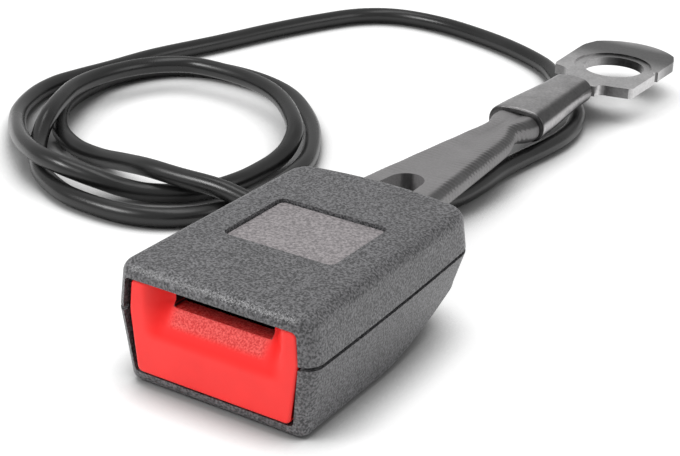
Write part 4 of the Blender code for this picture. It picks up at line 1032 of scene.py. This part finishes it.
FLAT_SWELL = 0.25 * MM
FERRULE_LIP = 0.6 * MM
MOUTH_WIDER, MOUTH_HIGHER = 0.7 * MM, 0.55 * MM
CRIMP_WIDE, CRIMP_HIGH = 2.1 * MM, 0.75 * MM
FERRULE_SHIFT = -1.2 * MM
LIP_END, BORE_END = 0.014, 0.01
FERRULE_LIP_STEPS = (0.5 * MM, 0.0), (0.15 * MM, 0.004), (0.0, LIP_END)
ARC_TURN_IN = 0.16
NECK_FILLET = 2.6 * MM
HOLE_SHIFT = 0.3 * MM
PLATE_EDGE = 0.4 * MM


def stadium(half_wide, half_high, middle, y):
    """A flattened round, its flat top and bottom swelling a little."""
    steps = 14
    straight = half_wide - half_high
    points = []
    for step in range(steps + 1):
        angle = -math.pi / 2 + math.pi * step / steps
        points.append((straight + half_high * math.cos(angle), half_high * math.sin(angle)))
    for step in range(1, steps):
        across = straight * (1 - 2 * step / steps)
        points.append((across, half_high + FLAT_SWELL * (1 - (across / straight) ** 2)))
    points += [(-x, -z) for x, z in points]
    return [(x + middle, y, z + FERRULE_Z) for x, z in points]


def make_ferrule():
    """A crimped tube: wide where the stalk goes in, pressed narrow round the plate's tail."""
    front = FERRULE_FRONT - FERRULE_LIP
    end = FERRULE_FRONT + FERRULE_LENGTH
    rows = 26

    def station(share, inset):
        pressed = smoothstep(share * 1.05)
        half_wide = FERRULE_HALF_WIDTH + MOUTH_WIDER - CRIMP_WIDE * pressed
        half_high = FERRULE_HALF_HEIGHT + MOUTH_HIGHER - CRIMP_HIGH * pressed
        return stadium(half_wide - inset, half_high - inset, STALK_SHIFT + FERRULE_SHIFT,
                       front + (end - front) * share)

    body, bore = 1 - 2 * LIP_END, 1 - 2 * BORE_END
    outer = [station(share, inset) for inset, share in FERRULE_LIP_STEPS]
    outer += [station(LIP_END + body * k / rows, 0.0) for k in range(1, rows + 1)]
    outer += [station(1 - share, inset) for inset, share in reversed(FERRULE_LIP_STEPS[:2])]
    inner = [station(1 - BORE_END - bore * k / rows, FERRULE_WALL) for k in range(rows + 1)]
    rings = outer + [station(1.0, FERRULE_WALL)] + inner + [station(0.0, FERRULE_WALL)]
    ferrule = smooth(loft("ferrule_skin", rings + [rings[0]], closed_ends=False), 50)
    skin(ferrule, "ferrule_steel", "ferrule")


def make_anchor():
    low = FERRULE_Z - PLATE_THICKNESS / 2
    ferrule_end = FERRULE_FRONT + FERRULE_LENGTH
    tail_start = ferrule_end - TAIL_LENGTH
    reach = math.asin(PLATE_HALF / PLATE_ARC_RADIUS)
    steps = 40
    arc = []
    for step in range(steps + 1):
        angle = (reach - ARC_TURN_IN) * (1 - 2 * step / steps)
        arc.append((PLATE_ARC_RADIUS * math.sin(angle),
                    PLATE_ARC_Y + PLATE_ARC_RADIUS * math.cos(angle)))
    neck = NECK_HALF - 1.6 * MM
    right = [(TAIL_HALF - 2 * MM, tail_start), (TAIL_HALF - 2 * MM, ferrule_end + 0.6 * MM),
             (neck, ferrule_end + 1.2 * MM), (neck, PLATE_NEAR - 4 * MM)]
    for step in range(1, 9):
        a = math.pi / 16 * step
        right.append((neck + NECK_FILLET * (1 - math.cos(a)),
                      PLATE_NEAR - 4 * MM + NECK_FILLET * math.sin(a)))
    right += [(PLATE_NEAR_HALF - 5 * MM, PLATE_NEAR - 0.9 * MM),
              (PLATE_NEAR_HALF - 1 * MM, PLATE_NEAR), (PLATE_NEAR_HALF, PLATE_NEAR + 1.2 * MM)]
    edge = PLATE_NEAR_HALF + 0.4 * MM
    for step in range(9):
        angle = -math.pi / 2 + math.pi * step / 8
        right.append((edge - PLATE_NOTCH_RADIUS * math.cos(angle),
                      PLATE_NOTCH_Y + PLATE_NOTCH_RADIUS * math.sin(angle)))
    corner = PLATE_ARC_Y + PLATE_ARC_RADIUS * math.cos(reach)
    right += [(PLATE_HALF - 0.2 * MM, PLATE_NOTCH_Y + 4 * MM), (PLATE_HALF, corner - 3.4 * MM),
              (PLATE_HALF - 0.15 * MM, corner - 2 * MM), (PLATE_HALF - 0.6 * MM, corner - 0.8 * MM)]
    left = [(-PLATE_HALF + 0.9 * MM, corner - 0.8 * MM),
            (-PLATE_HALF + 0.35 * MM, corner - 2.4 * MM),
            (-PLATE_HALF + 0.1 * MM, corner - 4.4 * MM), (-PLATE_HALF + 0.1 * MM, corner - 8 * MM),
            (-PLATE_HALF + 0.5 * MM, PLATE_NEAR + PLATE_CUT_BACK + 2 * MM),
            (-PLATE_HALF + 1 * MM, PLATE_NEAR + PLATE_CUT_BACK + 0.4 * MM)]
    for a in quarter(12):
        left.append((-PLATE_HALF + 1.8 * MM + (PLATE_HALF - NECK_HALF - 2 * MM) * math.sin(a),
                     PLATE_NEAR + PLATE_CUT_BACK - (PLATE_CUT_BACK + 2.5 * MM) * (1 - math.cos(a))))
    left += [(-NECK_HALF, ferrule_end + 1.2 * MM), (-TAIL_HALF, ferrule_end + 0.6 * MM),
             (-TAIL_HALF, tail_start)]
    middle = STALK_SHIFT + PLATE_SHIFT
    outline = [(x + middle, y) for x, y in right + arc + left]
    top = low + PLATE_THICKNESS
    hole = circle(BOLT_HOLE_X + HOLE_SHIFT, BOLT_HOLE_Y, BOLT_HOLE_RADIUS - HOLE_SHIFT, 96)
    plate = prism("anchor_plate_skin", outline, low, top, holes=(hole,))
    coin = prism("coin", circle(BOLT_HOLE_X, BOLT_HOLE_Y, COIN_RADIUS, 96), top - COIN_DEPTH,
                 top + OVER)
    plate = boolean(plate, [coin])
    skin(soften(plate, PLATE_EDGE, 3), "plate_steel", "anchor_plate")


# Press button

SCOOP_DEPTH = 4.9 * MM
SCOOP_FOOT = 2.2 * MM
FACE_PITCH = 0.42 * MM
FACE_EDGE_STEPS = [n * MM for n in (0.0, 0.06, 0.16, 0.32, 0.6, 1.0, 1.5)]
SLOT_CORNER = 0.9 * MM


def width_at(outline, z):
    """Half the outline's width at height z."""
    widest = 0.0
    for (x0, z0), (x1, z1) in zip(outline, outline[1:] + outline[:1]):
        if min(z0, z1) <= z <= max(z0, z1) and abs(z1 - z0) > 1e-9:
            widest = max(widest, x0 + (x1 - x0) * (z - z0) / (z1 - z0))
    return widest


def edge_distance(outline, x, z):
    best = 1.0
    for (x0, z0), (x1, z1) in zip(outline, outline[1:] + outline[:1]):
        run, rise = x1 - x0, z1 - z0
        size = run * run + rise * rise
        share = 0.0
        if size > 1e-18:
            share = min(max(((x - x0) * run + (z - z0) * rise) / size, 0.0), 1.0)
        best = min(best, math.hypot(x - x0 - share * run, z - z0 - share * rise))
    return best


def scoop_depth(x, z):
    """How far the button's face is sunk: a soft trough, then a floor running up into the slot."""
    aside = smoothstep((SCOOP_EDGE - abs(x)) / (SCOOP_EDGE - SLOT_HALF + 0.3 * MM))
    rise = (z - SCOOP_BOTTOM + SCOOP_FOOT) / (SLOT_BOTTOM - SCOOP_BOTTOM + SCOOP_FOOT)
    rise = min(max(rise, 0.0), 1.0)
    return aside * SCOOP_DEPTH * rise**1.5


def spaced(half, near, pitch):
    """Places from -half to half, close together at both ends."""
    count = max(int((half - near[-1]) * 2 / pitch), 2)
    inner = half - near[-1]
    middle = [-inner + 2 * inner * k / count for k in range(1, count)]
    return [-half + n for n in near] + middle + [half - n for n in reversed(near)]


def make_button():
    outline = aperture(PANEL_GAP)
    low = min(z for x, z in outline)
    high = max(z for x, z in outline)
    near = FACE_EDGE_STEPS
    heights = [(low + high) / 2 + s for s in spaced((high - low) / 2, near, FACE_PITCH)]
    heights[0] += 1e-6
    heights[-1] -= 1e-6
    points = []
    faces = []
    columns = len(spaced(APERTURE_HALF, near, FACE_PITCH))
    for z in heights:
        half = width_at(outline, z)
        for x in spaced(half, near, (half - near[-1]) * 2 / (columns - 2 * len(near) + 1.5)):
            away = min(edge_distance(outline, x, z), BUTTON_EDGE)
            rolled = BUTTON_EDGE - math.sqrt(max(BUTTON_EDGE**2 - (BUTTON_EDGE - away) ** 2, 0.0))
            points.append((x, BUTTON_FRONT + rolled + scoop_depth(x, z), z))
    rows = len(heights)
    for j in range(rows - 1):
        for i in range(columns - 1):
            a = j * columns + i
            faces.append((a, a + 1, a + columns + 1, a + columns))
    rim = list(range(columns))
    rim += [j * columns + columns - 1 for j in range(1, rows)]
    rim += [(rows - 1) * columns + i for i in range(columns - 2, -1, -1)]
    rim += [j * columns for j in range(rows - 2, 0, -1)]
    base = len(points)
    rear = BUTTON_FRONT + BUTTON_DEPTH
    points += [(points[i][0], rear, points[i][2]) for i in rim]
    for index in range(len(rim)):
        after = (index + 1) % len(rim)
        faces.append((rim[index], base + index, base + after, rim[after]))
    faces.append(tuple(range(base, base + len(rim))))
    button = mesh_object("press_button_skin", points, faces)
    slot_floor = SLOT_BOTTOM - SLOT_LEAD_IN
    corners = [(-SLOT_HALF, slot_floor), (SLOT_HALF, slot_floor),
               (SLOT_HALF, HOUSING_HEIGHT), (-SLOT_HALF, HOUSING_HEIGHT)]
    slot = prism("slot", rounded(corners, [SLOT_CORNER, SLOT_CORNER, 0.2 * MM, 0.2 * MM]),
                 -OVER, rear + OVER, plane="XZ")
    pocket = block("pocket", (-SCOOP_HALF, BUTTON_FRONT + BUTTON_WALL, POCKET_BOTTOM),
                   (SCOOP_HALF, rear + OVER, SCOOP_BOTTOM - 2.8 * MM))
    button = boolean(button, [slot, pocket])
    arm_outer = ARM_INNER + ARM_THICKNESS
    arms = [block("arm", (start, rear - 2 * MM, ARM_BOTTOM), (end, ARM_END, ARM_TOP))
            for start, end in ((-arm_outer, -ARM_INNER), (ARM_INNER, arm_outer))]
    button = boolean(button, arms, "UNION")
    bore = prism("bore", circle(LOCK_PIN_Y - REST_Y, LOCK_PIN_Z, LOCK_PIN_RADIUS + GAP, 24),
                 -2 * SCOOP_HALF, 2 * SCOOP_HALF, plane="YZ")
    bore.data.transform(Matrix.Translation((0, REST_Y, 0)))
    button = boolean(button, [bore])
    clean(button)
    skin(smooth(button, 42), "red_plastic", "press_button", body="button")


def make_grommet():
    """The lead's rubber collar: a bead against the rear wall and a tapered strain relief."""
    bore = CORD_RADIUS + 0.1 * MM
    wall_in = HOUSING_LENGTH - REAR_BOW - WALL
    wall_out = HOUSING_LENGTH - REAR_BOW / 2 + GAP
    profile = [(bore, GROMMET_END), (bore + 0.35 * MM, GROMMET_END),
               (bore + 0.5 * MM, GROMMET_END - 0.4 * MM)]
    for rib in range(4):
        start = GROMMET_END - (1.2 + 1.5 * rib) * MM
        thick = bore + (0.55 + 0.12 * rib) * MM
        profile += [(thick, start), (thick - 0.35 * MM, start - 0.25 * MM),
                    (thick - 0.35 * MM, start - 0.75 * MM), (thick + 0.06 * MM, start - MM)]
    profile += [(GROMMET_NECK + 0.25 * MM, wall_out + 2 * MM),
                (GROMMET_FLANGE - 0.5 * MM, wall_out + 1.4 * MM),
                (GROMMET_FLANGE - 0.1 * MM, wall_out + 1.0 * MM),
                (GROMMET_FLANGE, wall_out + 0.5 * MM), (GROMMET_FLANGE - 0.2 * MM, wall_out),
                (GROMMET_NECK, wall_out), (GROMMET_NECK, wall_in), (bore, wall_in)]
    rings = [[(GROMMET_X + u, y, GROMMET_Z + v) for u, v in circle(0, 0, radius, 48)]
             for radius, y in profile]
    grommet = loft("cord_grommet_skin", rings + [rings[0]], closed_ends=False)
    skin(smooth(grommet, 50), "cord_jacket", "cord_grommet")


make_button()
make_grommet()
make_covers()
make_sleeve()
make_rope()
for spring_node in ("button_spring_left", "button_spring_right"):
    make_spring(spring_node, BUTTON_SPRING_WIRE, BUTTON_SPRING_TURNS)
make_spring("ejector_spring", EJECTOR_SPRING_WIRE,
            EJECTOR_SPRING_TURNS)
make_ferrule()
make_anchor()


# Nodes kept from the part take the finer materials

def dress_nodes():
    slots = {row["node"]: row["material_slot"] for row in frame["record"]["subparts"]}
    for name, obj in frame["nodes"].items():
        look = "connector_plastic" if name == "connector_body" else slots[name]
        for slot in obj.material_slots:
            slot.material = LOOKS[look]


dress_nodes()


# Floor, backdrop and light

FLOOR_HALF, FLOOR_DROP = 3.0, 0.2 * MM
FLOOR_COLOUR = (0.8, 0.8, 0.8, 1.0)
FLOOR_SEEN = (0.3, 0.3, 0.3, 1.0)
SHADE_REACH = 16 * MM
SHADE_FULL, SHADE_NONE = 0.45, 0.86
FLOOR_GLOW = 0.84


def make_stage():
    """A pale floor that shows white where nothing shades it and keeps the object's soft shadow.

    The white the camera sees is a glow that ambient occlusion dims near the object, a painted
    contact shadow, over a faint diffuse part that keeps the lamps' real shadow.
    """
    half = FLOOR_HALF
    mesh = bpy.data.meshes.new("floor")
    mesh.from_pydata([(-half, -half, 0), (half, -half, 0), (half, half, 0), (-half, half, 0)], [],
                     [(0, 1, 2, 3)])
    floor = add_object("floor", mesh)
    floor.location.z = -FLOOR_DROP
    look = bpy.data.materials.new("floor")
    look.use_nodes = True
    tree = look.node_tree
    tree.nodes.clear()
    plain = add_node(tree, "ShaderNodeBsdfDiffuse", {"Color": FLOOR_COLOUR})
    shown = add_node(tree, "ShaderNodeBsdfDiffuse", {"Color": FLOOR_SEEN})
    # Painted shadow: the glow's strength falls where ambient occlusion finds the object close.
    open_air = add_node(tree, "ShaderNodeAmbientOcclusion", {"Distance": SHADE_REACH}, samples=12)
    occlusion_dimmed_glow = add_node(tree, "ShaderNodeMapRange", {
        "Value": open_air.outputs["AO"], "From Min": SHADE_FULL, "From Max": SHADE_NONE,
        "To Min": 0.0, "To Max": FLOOR_GLOW})
    glow = add_node(tree, "ShaderNodeEmission", {"Strength": occlusion_dimmed_glow.outputs["Result"]})
    both = add_node(tree, "ShaderNodeAddShader", {
        0: shown.outputs["BSDF"], 1: glow.outputs["Emission"]})
    mixed = add_node(tree, "ShaderNodeMixShader", {
        "Fac": seen_rays(tree), 1: plain.outputs["BSDF"], 2: both.outputs["Shader"]})
    add_node(tree, "ShaderNodeOutputMaterial", {"Surface": mixed.outputs["Shader"]})
    mesh.materials.append(look)


def seen_rays(tree):
    """1 for rays that show the backdrop: the camera's own, and those off gloss or through glass."""
    path = add_node(tree, "ShaderNodeLightPath", {})
    value = path.outputs["Is Camera Ray"]
    for name in ("Is Glossy Ray", "Is Transmission Ray"):
        more = add_node(tree, "ShaderNodeMath", {0: value, 1: path.outputs[name]},
                        operation="MAXIMUM")
        value = more.outputs[0]
    return value


WORLD_LIGHT = 0.55


def area_light(name, place, target, size, power):
    data = bpy.data.lights.new(name, "AREA")
    data.shape = "RECTANGLE"
    data.size, data.size_y = size
    data.energy = power
    lamp = add_object(name, data)
    lamp.location = place
    lamp.rotation_euler = (Vector(target) - Vector(place)).to_track_quat("-Z", "Y").to_euler()


def make_light():
    world = bpy.data.worlds.new("studio")
    world.use_nodes = True
    bpy.context.scene.world = world
    background = world.node_tree.nodes["Background"]
    background.inputs["Color"].default_value = (1.0, 1.0, 1.0, 1.0)
    background.inputs["Strength"].default_value = WORLD_LIGHT
    area_light("front_left", (-0.45, -0.5, 0.55), (0.0, 0.05, 0.0), (0.34, 0.26), 3.8)
    area_light("overhead", (-0.1, 0.15, 0.9), (0.0, 0.1, 0.0), (0.3, 0.9), 2.2)
    area_light("right", (0.8, 0.25, 0.5), (0.0, 0.08, 0.0), (0.5, 0.5), 1.4)
    bpy.context.scene.view_settings.view_transform = "Standard"


make_stage()
make_light()
write_size()
